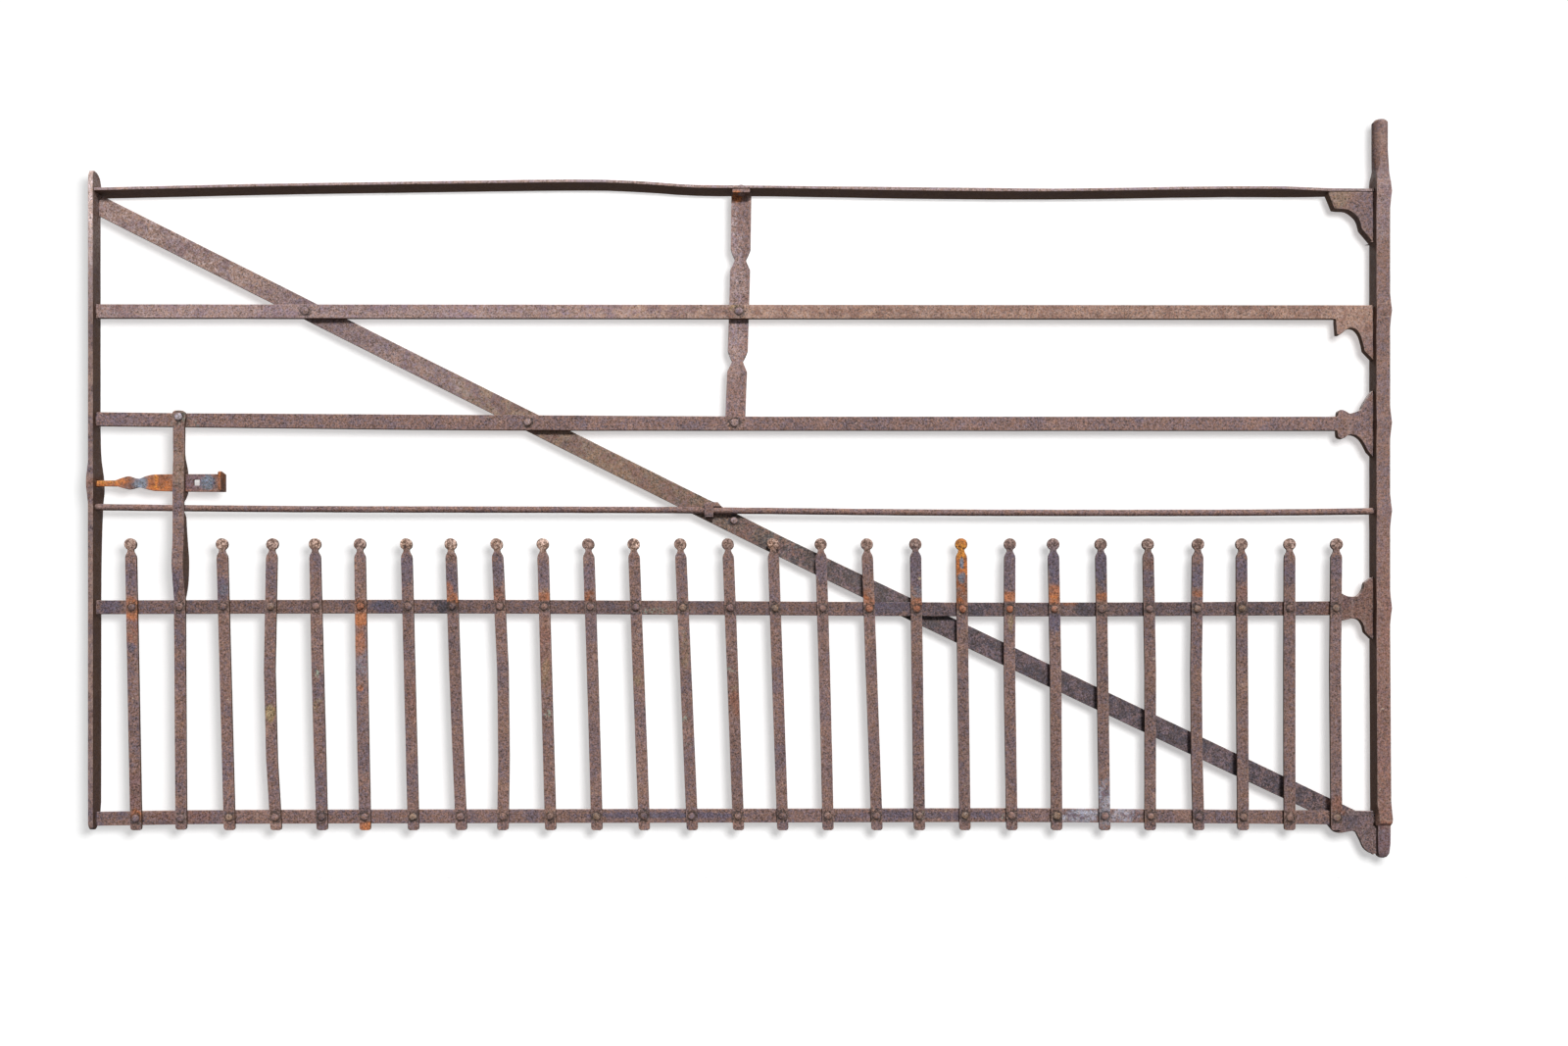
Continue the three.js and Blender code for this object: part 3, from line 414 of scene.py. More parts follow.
def round_bar(node):
    """The round rail, drawn again with a truly round section on the CAD's centre line."""
    sides, spans = 24, 190
    tenon = 5 * MM
    unevenness = 0.35 * MM
    co = node_points(node)
    low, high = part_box(node)
    body = co[(co[:, 0] > HEAD_FACE) & (co[:, 0] < HEEL_FACE)]
    xs = np.unique(np.round(body[:, 0], 4))
    centre, radius = [], 0
    for x in xs:
        ring = body[np.abs(body[:, 0] - x) < 2e-4]
        lowest, highest = ring.min(axis=0), ring.max(axis=0)
        centre.append((lowest + highest) / 2)
        radius = max(radius, (highest[2] - lowest[2]) / 2)
    centre = np.array(centre)
    places = [float(xs[0]) + (float(xs[-1]) - float(xs[0])) * i / spans for i in range(spans + 1)]
    rings = [(low[0], tenon), (places[0], tenon)]
    rings += [(x, radius) for x in places]
    rings += [(places[-1], tenon), (high[0], tenon)]
    points = []
    for x, r in rings:
        y = float(np.interp(x, xs, centre[:, 1]))
        z = float(np.interp(x, xs, centre[:, 2]))
        for k in range(sides):
            angle = 2 * math.pi * k / sides
            rough = noise.noise(Vector((x * 22, math.cos(angle), math.sin(angle)))) * unevenness
            reach = r + rough - unevenness
            points.append((x, y + reach * math.cos(angle), z + reach * math.sin(angle)))
    mesh = tube(node + "_iron", points, sides)
    obj = new_object(node + "_iron", mesh, node)
    mark_arrises(mesh)
    return obj


pieces["round_rail"] = round_bar("round_rail")

# the rivets of the CAD, and then the two of every dog bar
for index, node in enumerate(sorted(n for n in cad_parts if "rivet" in n)):
    low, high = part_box(node)
    if node == "strut_foot_rivet":
        pieces[node] = forged(node, arris=0.5, pitch=(90, 90, 90), wander=0.15)
        continue
    pieces[node] = rivet(
        node + "_iron", (low[0] + high[0]) / 2, (low[2] + high[2]) / 2, low[1] + HEAD_RISE,
        high[1] - HEAD_RISE, radius=8.0, rise=3.9, seed=index + 101, node=node,
    )
SUNK = 0.3 * MM  # a worn face lies about this far in, and a rivet's head sits on it
THROUGH_BRACE = ("upper_rivet_18", "foot_rivet_27")
rail_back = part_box("upper_rail")[0][1] + RAIL_THICKNESS
brace_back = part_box("brace")[1][1]
for index, node in enumerate(DOG_BARS):
    number = node[-2:]
    x_mid = bar_centre(node, MID_PANEL)
    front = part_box(node)[0][1]
    for level, rail in (("upper", "dog_rail"), ("foot", "bottom_rail")):
        z = rail_middle(rail, x_mid)
        name = f"{level}_rivet_{number}"
        back = brace_back if name in THROUGH_BRACE else rail_back
        pieces[name] = rivet(
            f"dog_rivet_{level}_{number}", bar_centre(node, z), z, front + SUNK, back - SUNK,
            radius=7.5, rise=4.4, seed=index * 2 + (level == "foot"),
        )


# ---------------------------------------------------------------- rusted iron

def link(tree, source, target):
    tree.links.new(source, target)


def math_node(tree, operation, a, b=None, c=None, clamp=False):
    """A Math node's output. Each of a, b and c is a number or another node's output."""
    n = tree.nodes.new("ShaderNodeMath")
    n.operation = operation
    n.use_clamp = clamp
    for socket, value in zip(n.inputs, (a, b, c)):
        if value is None:
            continue
        if isinstance(value, (int, float)):
            socket.default_value = value
        else:
            link(tree, value, socket)
    return n.outputs[0]


def mix_colour(tree, amount, a, b, blend="MIX"):
    """Colour a, turning into b by amount. A colour is an (r, g, b) or another node's output."""
    n = tree.nodes.new("ShaderNodeMix")
    n.data_type = "RGBA"
    n.blend_type = blend
    n.clamp_factor = True
    for name, value in (("Factor", amount), ("A", a), ("B", b)):
        socket = next(s for s in n.inputs if s.name == name and s.enabled)
        if isinstance(value, (int, float)):
            socket.default_value = value
        elif isinstance(value, tuple):
            socket.default_value = (*value, 1)
        else:
            link(tree, value, socket)
    return next(s for s in n.outputs if s.enabled)


def layer(tree, under, over, mask, strength):
    """Colour under, with colour over laid on it where the mask is 1."""
    return mix_colour(tree, math_node(tree, "MULTIPLY", mask, strength), under, over)


def swayed(tree, value, by, amount):
    """A value that moves up and down by amount times a noise, which swings round 0.5."""
    return math_node(tree, "MULTIPLY_ADD", math_node(tree, "SUBTRACT", by, 0.5), amount, value)


def noise_node(tree, coords, scale, detail, rough, distortion):
    n = tree.nodes.new("ShaderNodeTexNoise")
    n.inputs["Scale"].default_value = scale
    n.inputs["Detail"].default_value = detail
    n.inputs["Roughness"].default_value = rough
    n.inputs["Distortion"].default_value = distortion
    link(tree, coords, n.inputs["Vector"])
    return n.outputs["Fac"]


def ramp(tree, value, low, high):
    """0 where the value is low, rising smoothly to 1 where it is high; low may be the larger number."""
    n = tree.nodes.new("ShaderNodeMapRange")
    n.interpolation_type = "SMOOTHSTEP"
    n.inputs["From Min"].default_value = low
    n.inputs["From Max"].default_value = high
    link(tree, value, n.inputs["Value"])
    return n.outputs["Result"]


# each noise in the rust, from the coarsest: scale per metre, detail, roughness and distortion
NOISES = {
    "broad": (5, 3, 0.55, 0.0),
    "cloud": (17, 6, 0.7, 0.5),
    "blotch": (43, 5, 0.7, 0.4),
    "spots": (150, 3, 0.6, 1.5),
    "pore": (170, 4, 0.75, 0.4),
    "speck": (300, 3, 0.75, 0.0),
    "grain": (700, 2, 0.7, 0.0),
}

# the colours in the rust
MAUVE = (0.186, 0.113, 0.096)
PURPLE = (0.118, 0.086, 0.099)
VIOLET = (0.104, 0.080, 0.108)
BROWN = (0.182, 0.103, 0.076)
DARK = (0.040, 0.027, 0.021)
FLECK = (0.340, 0.270, 0.185)
WORN = (0.480, 0.350, 0.310)
ORANGE = (0.450, 0.140, 0.030)
BURNT = (0.230, 0.080, 0.034)
BLUE = (0.150, 0.180, 0.215)
SLATE = (0.086, 0.078, 0.104)
PALE = (0.330, 0.330, 0.370)
OCHRE = (0.300, 0.215, 0.095)
LICHEN = (0.260, 0.300, 0.200)
TAN = (0.325, 0.205, 0.142)
BLEACHED = (0.340, 0.245, 0.215)
SOOT = (0.052, 0.045, 0.055)
# painted shade, laid on the sides and undersides of the iron
PAINTED_SHADE = (0.085, 0.036, 0.012)
PINK = (0.640, 0.500, 0.460)
AMBER = (0.560, 0.215, 0.030)
LILAC = (0.215, 0.170, 0.215)
# pale spots of wear on a ball, which also serve as its painted highlight
PALE_WEAR_AND_HIGHLIGHT = (0.640, 0.430, 0.320)
# what the colour is multiplied by, to warm or to cool it
WARM = (1.09, 0.99, 0.92)
COOL = (0.92, 0.98, 1.10)

DARKEST = 0.3  # the rust's mottling never goes darker than this share of its colour
SIDE_FADE = 12  # mm over which the painted shade of a narrow face ends, above and below side_top
# the values of the pore noise between which a stain fades in, as spots or as the holes between them
SPOTS = (0.49, 0.56)
HOLES = (0.50, 0.43)
# what each kind of stain is made of: its colour, the one that breaks through it, and whether it
# comes as spots, as holes, or all over
STAINS = {
    "orange": (ORANGE, BURNT, None), "burnt": (BURNT, BROWN, None), "amber": (AMBER, ORANGE, None),
    "blue": (BLUE, VIOLET, None), "pale": (PALE, VIOLET, None), "ochre": (OCHRE, BROWN, None),
    "worn": (WORN, BLEACHED, SPOTS), "pink": (PINK, WORN, None), "purple": (VIOLET, SLATE, None),
    "tan": (TAN, BROWN, SPOTS), "lichen": (LICHEN, MAUVE, SPOTS), "bleached": (BLEACHED, LILAC, None),
    # the dark ring is painted shade round rivet heads
    "soot": (SOOT, PURPLE, None), "grime": (DARK, DARK, None), "fleck": (FLECK, FLECK, None),
    # the pale spots on the balls are wear from handling together with a painted highlight
    "pitted": (DARK, SOOT, HOLES), "wear_and_highlight": (PALE_WEAR_AND_HIGHLIGHT, TAN, SPOTS), "dusty": (TAN, BROWN, None),
}


def iron(name, tone=1.0, contrast=2.5, side=0.0, side_top=5000, worn=0.5, stains=(), purple=0.75,
         brown=0.6, tan=0.35, flecks=0.5):
    """Rusted wrought iron. tone is its brightness and contrast the depth of its mottling. side is how
    much painted shade darkens its narrow faces, the sides and undersides, below a height of side_top.
    worn, purple, brown, tan and flecks say how much of each shows. stains are (kind, (x, z),
    (half-width, half-height), strength). Lengths are in mm."""
    material = bpy.data.materials.new(name)
    material.use_nodes = True
    tree = material.node_tree
    tree.nodes.clear()
    out = tree.nodes.new("ShaderNodeOutputMaterial")
    shader = tree.nodes.new("ShaderNodeBsdfPrincipled")
    link(tree, shader.outputs[0], out.inputs[0])
    place = tree.nodes.new("ShaderNodeTexCoord").outputs["Object"]
    where = tree.nodes.new("ShaderNodeSeparateXYZ")
    link(tree, place, where.inputs[0])
    noises = {kind: noise_node(tree, place, *numbers) for kind, numbers in NOISES.items()}
    blotch, pore, speck = noises["blotch"], noises["pore"], noises["speck"]

    # Patches of colour, whose edges break up into the finer noises. The two numbers of a ramp are
    # the values of the noise between which its colour comes in.
    ragged = swayed(tree, noises["cloud"], pore, 0.5)
    patchy = swayed(tree, blotch, speck, 0.4)
    colour = layer(tree, MAUVE, PURPLE, ramp(tree, ragged, 0.45, 0.62), purple)
    colour = layer(tree, colour, BROWN, ramp(tree, patchy, 0.46, 0.64), brown)
    colour = layer(tree, colour, PURPLE, ramp(tree, patchy, 0.45, 0.30), 0.6)
    colour = layer(tree, colour, TAN, ramp(tree, ragged, 0.43, 0.31), tan)

    frayed = swayed(tree, swayed(tree, 0.0, blotch, 1.5), speck, 1.5)
    for kind, middle, half, strength in stains:
        bright, dull, broken = STAINS[kind]
        mask = ramp(tree, math_node(tree, "ADD", reach_from(tree, where, middle, half), frayed), 1.35, 0.75)
        if broken:
            mask = math_node(tree, "MULTIPLY", mask, ramp(tree, pore, *broken))
        stain = mix_colour(tree, ramp(tree, patchy, 0.47, 0.60), bright, dull)
        colour = layer(tree, colour, stain, mask, strength)

    # pale flecks, dark pits, and a drift between warm and cool
    colour = layer(tree, colour, FLECK, ramp(tree, noises["spots"], 0.63, 0.72), flecks)
    colour = layer(tree, colour, DARK, ramp(tree, speck, 0.43, 0.33), 0.6)
    tint = mix_colour(tree, ramp(tree, pore, 0.42, 0.58), WARM, COOL)
    colour = mix_colour(tree, 1.0, colour, tint, "MULTIPLY")

    # light and dark, at every scale
    value = swayed(tree, 1.0, speck, 1.7 * contrast)
    value = swayed(tree, value, pore, 0.9 * contrast)
    value = swayed(tree, value, noises["grain"], 0.9 * contrast)
    value = swayed(tree, value, noises["broad"], 0.6)
    value = math_node(tree, "MULTIPLY", math_node(tree, "MAXIMUM", value, DARKEST), tone)
    grey = tree.nodes.new("ShaderNodeCombineColor")
    for channel in grey.inputs:
        link(tree, value, channel)
    colour = mix_colour(tree, 1.0, colour, grey.outputs[0], "MULTIPLY")

    # rubbed arrises, and painted shade on the sides and undersides
    exposed = tree.nodes.new("ShaderNodeAttribute")
    exposed.attribute_name = "arris"
    rubbed = math_node(tree, "MULTIPLY", exposed.outputs["Fac"], ramp(tree, blotch, 0.38, 0.6))
    colour = layer(tree, colour, WORN, rubbed, worn)
    if side:
        below = ramp(tree, where.outputs[2], (side_top + SIDE_FADE) * MM, (side_top - SIDE_FADE) * MM)
        painted_side_shade = math_node(tree, "MULTIPLY", narrow_face(tree), below)
        colour = layer(tree, colour, PAINTED_SHADE, painted_side_shade, side)
    link(tree, colour, shader.inputs["Base Color"])

    rough = math_node(tree, "MULTIPLY_ADD", speck, 0.4, 0.52, clamp=True)
    link(tree, rough, shader.inputs["Roughness"])
    shader.inputs["Metallic"].default_value = 0.0
    shader.inputs["Specular IOR Level"].default_value = 0.35

    height = math_node(tree, "MULTIPLY_ADD", speck, 0.8, math_node(tree, "MULTIPLY", blotch, 0.9))
    height = math_node(tree, "MULTIPLY_ADD", noises["grain"], 0.25, height)
    bump = tree.nodes.new("ShaderNodeBump")
    bump.inputs["Strength"].default_value = 0.8
    bump.inputs["Distance"].default_value = 1.4 * MM
    link(tree, height, bump.inputs["Height"])
    link(tree, bump.outputs[0], shader.inputs["Normal"])
    return material


def reach_from(tree, where, middle, half):
    """How far a point lies from a stain's middle, seen from the front: 1 is the edge of its oval."""
    dx, dz = (
        math_node(tree, "MULTIPLY_ADD", where.outputs[axis], 1 / (radius * MM), -at / radius)
        for axis, at, radius in ((0, middle[0], half[0]), (2, middle[1], half[1]))
    )
    square = math_node(tree, "MULTIPLY_ADD", dx, dx, math_node(tree, "MULTIPLY", dz, dz))
    return math_node(tree, "SQRT", square)


def narrow_face(tree):
    """1 where a face looks sideways or down, and 0 where it looks forward, back or up: where iron() paints
    shade.
    """
    transform = tree.nodes.new("ShaderNodeVectorTransform")
    transform.vector_type = "NORMAL"
    transform.convert_from = "WORLD"
    transform.convert_to = "OBJECT"
    link(tree, tree.nodes.new("ShaderNodeNewGeometry").outputs["Normal"], transform.inputs[0])
    facing = tree.nodes.new("ShaderNodeSeparateXYZ")
    link(tree, transform.outputs[0], facing.inputs[0])
    across = ramp(tree, math_node(tree, "ABSOLUTE", facing.outputs[1]), 0.75, 0.35)
    return math_node(tree, "MULTIPLY", across, ramp(tree, facing.outputs[2], 0.8, 0.3))


def piece_box(name):
    """Lowest and highest corners of a finished piece."""
    data = pieces[name].data
    co = np.zeros(len(data.vertices) * 3)
    data.vertices.foreach_get("co", co)
    co = co.reshape(-1, 3)
    return co.min(axis=0), co.max(axis=0)


def paint(names, material):
    """Gives each of the pieces this one material."""
    for name in names:
        pieces[name].data.materials.clear()
        pieces[name].data.materials.append(material)


# Each stain is (kind, place, (half-width, half-height), strength), in mm. A bar's are placed from
# its own centre line, so a place there is (to the right of it, height).
BAR_STAINS = {
    "01": [("purple", (0, 565), (16, 30), 0.5), ("orange", (0, 508), (18, 21), 0.64),
           ("burnt", (0, 455), (14, 20), 0.45), ("purple", (-4, 428), (9, 10), 0.8),
           ("burnt", (0, 132), (15, 42), 0.3), ("orange", (2, 88), (13, 11), 0.64)],
    "03": [("purple", (0, 548), (16, 24), 0.65), ("blue", (1, 546), (10, 10), 0.35)],
    "04": [("ochre", (0, 295), (10, 16), 0.7), ("purple", (0, 590), (14, 14), 0.4)],
    "05": [("lichen", (0, 375), (4, 8), 0.7), ("ochre", (2, 310), (12, 14), 0.4)],
    "06": [("orange", (0, 512), (17, 14), 0.45), ("orange", (0, 485), (15, 12), 0.64),
           ("orange", (-3, 440), (11, 32), 0.45), ("blue", (2, 390), (14, 28), 0.45),
           ("orange", (-2, 346), (6, 6), 0.56), ("orange", (0, 66), (16, 10), 0.71)],
    "07": [("purple", (0, 582), (16, 32), 0.63), ("burnt", (4, 320), (9, 40), 0.3)],
    "08": [("purple", (0, 562), (16, 36), 0.56), ("orange", (-6, 548), (8, 14), 0.41),
           ("orange", (2, 528), (16, 13), 0.64), ("soot", (-6, 512), (10, 8), 0.9)],
    "09": [("purple", (0, 580), (16, 34), 0.63), ("burnt", (0, 536), (15, 14), 0.5)],
    "10": [("purple", (0, 575), (14, 30), 0.49), ("orange", (0, 532), (16, 9), 0.56),
           ("burnt", (0, 430), (12, 60), 0.35), ("lichen", (2, 292), (7, 9), 0.6),
           ("ochre", (0, 370), (8, 34), 0.35)],
    "11": [("purple", (0, 575), (14, 30), 0.42), ("burnt", (0, 533), (15, 11), 0.9)],
    "12": [("lichen", (0, 508), (14, 8), 0.35), ("ochre", (0, 362), (9, 12), 0.45)],
    "13": [("lichen", (-2, 285), (7, 12), 0.6), ("lichen", (0, 232), (9, 7), 0.6),
           ("ochre", (0, 420), (8, 40), 0.3)],
    "14": [("lichen", (-2, 386), (8, 9), 0.6), ("ochre", (2, 350), (8, 10), 0.6),
           ("burnt", (2, 316), (12, 26), 0.55)],
    "15": [("burnt", (0, 640), (14, 12), 0.6)],
    "16": [("purple", (0, 588), (16, 30), 0.56)],
    "17": [("burnt", (0, 536), (16, 12), 0.9), ("orange", (2, 522), (12, 10), 0.45)],
    "18": [("purple", (0, 590), (16, 44), 0.6), ("blue", (0, 540), (15, 9), 0.4),
           ("orange", (0, 517), (15, 11), 0.45), ("fleck", (7, 569), (3, 3), 0.9)],
    "19": [("orange", (0, 606), (24, 60), 1.0), ("burnt", (0, 548), (18, 26), 0.8),
           ("amber", (0, 636), (24, 24), 1.0), ("blue", (0, 600), (4, 10), 0.9),
           ("blue", (0, 570), (7, 11), 0.9), ("orange", (0, 516), (16, 13), 0.5)],
    "20": [("purple", (0, 590), (18, 50), 0.6), ("soot", (-5, 565), (6, 22), 0.35),
           ("orange", (0, 532), (16, 9), 0.64), ("ochre", (2, 478), (5, 16), 0.5)],
    "21": [("purple", (0, 600), (18, 40), 0.85), ("orange", (0, 540), (16, 14), 0.56),
           ("orange", (2, 524), (13, 10), 0.6), ("purple", (0, 482), (16, 20), 0.9)],
    "22": [("purple", (0, 590), (16, 40), 0.85), ("orange", (0, 530), (16, 9), 0.64),
           ("pale", (0, 112), (17, 40), 0.75)],
    "23": [("burnt", (2, 596), (10, 10), 0.35), ("purple", (0, 565), (14, 20), 0.6)],
    "24": [("orange", (0, 538), (15, 7), 0.64), ("purple", (0, 570), (14, 24), 0.6)],
    "25": [("purple", (0, 585), (14, 24), 0.7), ("burnt", (0, 540), (13, 12), 0.3)],
    "26": [("purple", (0, 580), (14, 26), 0.5)],
    "27": [("purple", (0, 590), (14, 24), 0.5), ("burnt", (2, 105), (12, 18), 0.5)],
}
BALL_MIDDLE = 638  # height of a bar's ball, in mm
# how much wear from handling and painted highlight the ball of each bar has, where it isn't the usual 0.5
BALL_WEAR_AND_HIGHLIGHT = {
    "03": 0.6, "05": 0.75, "07": 1.0, "08": 0.8, "09": 0.8, "10": 0.75, "11": 0.35, "12": 0.7, "14": 0.2,
    "18": 0.35, "19": 0.0, "20": 0.25, "21": 0.2, "22": 0.3, "23": 0.35, "24": 0.35, "27": 0.35,
}
# the brightness of each bar, where it isn't 1
BAR_TONE = {
    "15": 0.94, "16": 0.94, "17": 0.92, "18": 0.93, "19": 0.9, "20": 0.92, "21": 0.88, "22": 0.82,
    "23": 0.86, "24": 0.93, "25": 0.92, "26": 0.93, "27": 0.95,
}


def along(node, stains):
    """A bar's stains, moved from its centre line to the gate's frame."""
    return [
        (kind, (bar_centre(node, height * MM) / MM + right, height), half, strength)
        for kind, (right, height), half, strength in stains
    ]


def grime_round(*rivets):
    """A dark ring of painted shade on the iron round the head of each rivet."""
    stains = []
    for name in rivets:
        head_low, head_high = (np.array(c) / MM for c in piece_box(name))
        x, _, z = (head_low + head_high) / 2
        stains.append(("grime", (float(x), float(z)), (12, 12), 0.75))
    return stains


for node in DOG_BARS:
    number = node[-2:]
    rng = random.Random(node + "_rust")
    wear_and_highlight = BALL_WEAR_AND_HIGHLIGHT.get(number, 0.5)
    stains = [
        *BAR_STAINS.get(number, ()),
        ("dusty", (0, BALL_MIDDLE), (20, 15), wear_and_highlight),
        ("pitted", (0, BALL_MIDDLE), (20, 15), 0.6),
        # pale spots a little above the ball's middle: wear from handling, and a painted highlight
        ("wear_and_highlight", (1, BALL_MIDDLE + 3), (15, 12), wear_and_highlight),
    ]
    paint([node], iron(
        node + "_rust", tone=BAR_TONE.get(number, 1.0) * rng.uniform(0.96, 1.06), side=0.8, worn=0.35,
        purple=rng.uniform(0.45, 0.85), brown=rng.uniform(0.4, 0.9), flecks=rng.uniform(0.35, 0.75),
        stains=along(node, stains) + grime_round(f"upper_rivet_{number}", f"foot_rivet_{number}"),
    ))

RUSTY_RIVETS = [f"upper_rivet_{number}" for number in ("06", "17", "18", "19", "20", "21")]
DARK_RIVETS = ("upper_rivet_01", "upper_rivet_08")
FRAME_RIVETS = (
    "strut_rivet_upper", "strut_rivet_middle", "brace_rivet_upper", "brace_rivet_middle", "clip_rivet",
)
ALL_OVER = ((-1200, 400), (4000, 4000))  # an oval larger than the gate
plain_rivet = iron("rivet_plain", tone=1.05, worn=0.3)
dark_rivet = iron("rivet_dark", tone=0.8, purple=1.0, worn=0.3)
rusty_rivet = iron("rivet_rusty", tone=1.15, stains=[("burnt", *ALL_OVER, 0.85)], worn=0.2)
grey_rivet = iron("rivet_grey", tone=1.1, purple=1.0, stains=[("bleached", *ALL_OVER, 0.45)])
ochre_rivet = iron("rivet_ochre", stains=[("ochre", *ALL_OVER, 0.3)], worn=0.3)
lilac_rivet = iron("rivet_lilac", tone=1.3, stains=[("pale", (-2449, 896), (30, 30), 0.6)])
for name in pieces:
    if "rivet" not in name:
        continue
    rng = random.Random(name)
    if name in RUSTY_RIVETS:
        paint([name], rusty_rivet)
    elif name == "guide_rivet_upper":
        paint([name], lilac_rivet)
    elif name in FRAME_RIVETS:
        paint([name], grey_rivet)
    elif name in DARK_RIVETS:
        paint([name], dark_rivet)
    else:
        paint([name], rng.choice((plain_rivet, plain_rivet, ochre_rivet, dark_rivet)))

paint(["heel_stile"], iron(
    "heel_rust", tone=1.12, contrast=2.0, side=0.6, side_top=SQUARE_TOP / MM, brown=0.8, purple=0.55,
    tan=0.2, worn=0.45,
    stains=[("orange", (6, 72), (16, 6), 0.4), ("purple", (0, 30), (30, 38), 0.75),
            ("soot", (0, 30), (30, 44), 0.35), ("burnt", (8, 300), (22, 300), 0.25),
            ("bleached", (0, 1330), (30, 80), 0.35)],
))
paint(["head_stile"], iron(
    "head_rust", tone=0.9, side=0.6, brown=0.7, worn=0.6,
    stains=[("pink", (-2630, 1330), (22, 120), 1.0), ("bleached", (-2630, 1200), (20, 100), 0.5),
            ("burnt", (-2626, 765), (16, 10), 0.6), ("purple", (-2630, 160), (14, 60), 0.4)],
))
paint(["top_rail"], iron(
    "top_rail_rust", tone=1.15, side=0.85, worn=0.7, brown=0.7, purple=0.3,
    stains=[("bleached", (-1200, 1370), (2000, 200), 0.7), ("soot", (-30, 1372), (90, 20), 0.4)],
))
paint(["top_knee"], iron("knee_rust", tone=1.08, side=0.5, stains=[("ochre", (-95, 1352), (30, 30), 0.3)]))
paint(["upper_rail"], iron(
    "upper_rail_rust", tone=1.22, side=0.7, purple=0.5, brown=0.85, contrast=2.1,
    stains=[("bleached", (-2000, 1110), (700, 60), 0.45), ("dusty", (-650, 1110), (900, 60), 0.55),
            ("ochre", (-1315, 1116), (12, 10), 0.5), *grime_round("strut_rivet_upper", "brace_rivet_upper")],
))
paint(["middle_rail"], iron(
    "middle_rail_rust", tone=1.1, side=0.75, purple=0.7,
    stains=[*grime_round("strut_rivet_middle", "brace_rivet_middle"),
            ("lichen", (-2440, 880), (28, 14), 0.3), ("purple", (-2560, 893), (60, 12), 0.4)],
))
paint(["dog_rail"], iron(
    "dog_rail_rust", tone=0.82, side=0.6, purple=0.9, flecks=0.35,
    stains=[("purple", (-2585, 512), (22, 13), 0.8), ("purple", (-2032, 513), (30, 13), 0.9),
            ("soot", (-1905, 513), (20, 15), 0.9), ("soot", (-820, 512), (22, 20), 0.8),
            ("soot", (-620, 512), (430, 40), 0.42), ("burnt", (-632, 520), (14, 8), 0.8),
            ("soot", (-600, 508), (22, 16), 0.7), ("lichen", (-1470, 503), (70, 5), 0.5),
            ("purple", (-1010, 512), (60, 16), 0.7), ("burnt", (-60, 512), (70, 60), 0.25)],
))
paint(["bottom_rail"], iron(
    "bottom_rail_rust", tone=0.98, side=0.4, purple=0.9,
    stains=[("pale", (-612, 86), (40, 15), 0.8), ("pale", (-518, 88), (34, 14), 0.6),
            ("purple", (-1450, 87), (170, 6), 0.85), ("purple", (-900, 87), (200, 7), 0.6),
            ("tan", (-56, 93), (30, 8), 0.8), ("orange", (-82, 93), (9, 7), 0.35),
            ("lichen", (-766, 84), (7, 6), 0.8), ("burnt", (-2440, 86), (60, 12), 0.25),
            ("soot", (-40, 60), (70, 50), 0.5)],
))
paint(["brace"], iron(
    "brace_rust", tone=0.98, side=0.5, purple=0.8, contrast=2.1,
    stains=[("bleached", (-2450, 1260), (900, 560), 0.5), ("dusty", (-2300, 1200), (420, 260), 0.3),
            ("worn", (-2480, 1280), (200, 130), 0.3), ("purple", (-2110, 1110), (150, 90), 0.3),
            ("ochre", (-1650, 850), (260, 160), 0.3), ("ochre", (-1100, 640), (330, 180), 0.4),
            ("lichen", (-1180, 655), (60, 26), 0.45), *grime_round("clip_rivet"),
            ("soot", (-600, 390), (860, 440), 0.8)],
))
paint(["round_rail"], iron("round_rail_rust", tone=1.12, brown=0.8, purple=0.5))
paint(["centre_strut"], iron(
    "strut_rust", tone=1.18, side=0.5,
    stains=[("orange", (-1312, 1347), (10, 8), 0.85), ("worn", (-1322, 1290), (14, 40), 0.55),
            ("bleached", (-1320, 1150), (26, 160), 0.45)],
))
paint(["rod_clip", "clip_wedge"], iron("clip_rust", tone=0.95, side=0.4, brown=0.8))
paint(["latch_guide"], iron(
    "guide_rust", tone=0.98, side=0.6, brown=0.8,
    stains=[*grime_round("guide_rivet_upper", "guide_rivet_dog", "guide_rivet_bottom"),
            ("lichen", (-2449, 897), (24, 15), 0.35), ("ochre", (-2440, 800), (14, 50), 0.25),
            ("purple", (-2452, 560), (12, 30), 0.6)],
))
paint(["latch_bolt"], iron(
    "bolt_rust", side=0.3, worn=0.35,
    stains=[("burnt", (-2480, 763), (170, 40), 0.6), ("orange", (-2592, 762), (36, 16), 1.0),
            ("amber", (-2600, 766), (26, 4), 0.8), ("soot", (-2551, 757), (10, 7), 0.5),
            ("orange", (-2489, 764), (24, 24), 0.85), ("blue", (-2526, 765), (14, 14), 0.9),
            ("amber", (-2494, 770), (5, 14), 0.8), ("purple", (-2412, 766), (26, 18), 0.6),
            ("blue", (-2388, 764), (15, 14), 0.9), ("orange", (-2358, 764), (9, 30), 0.6)],
))


# ---------------------------------------------------------------- stage

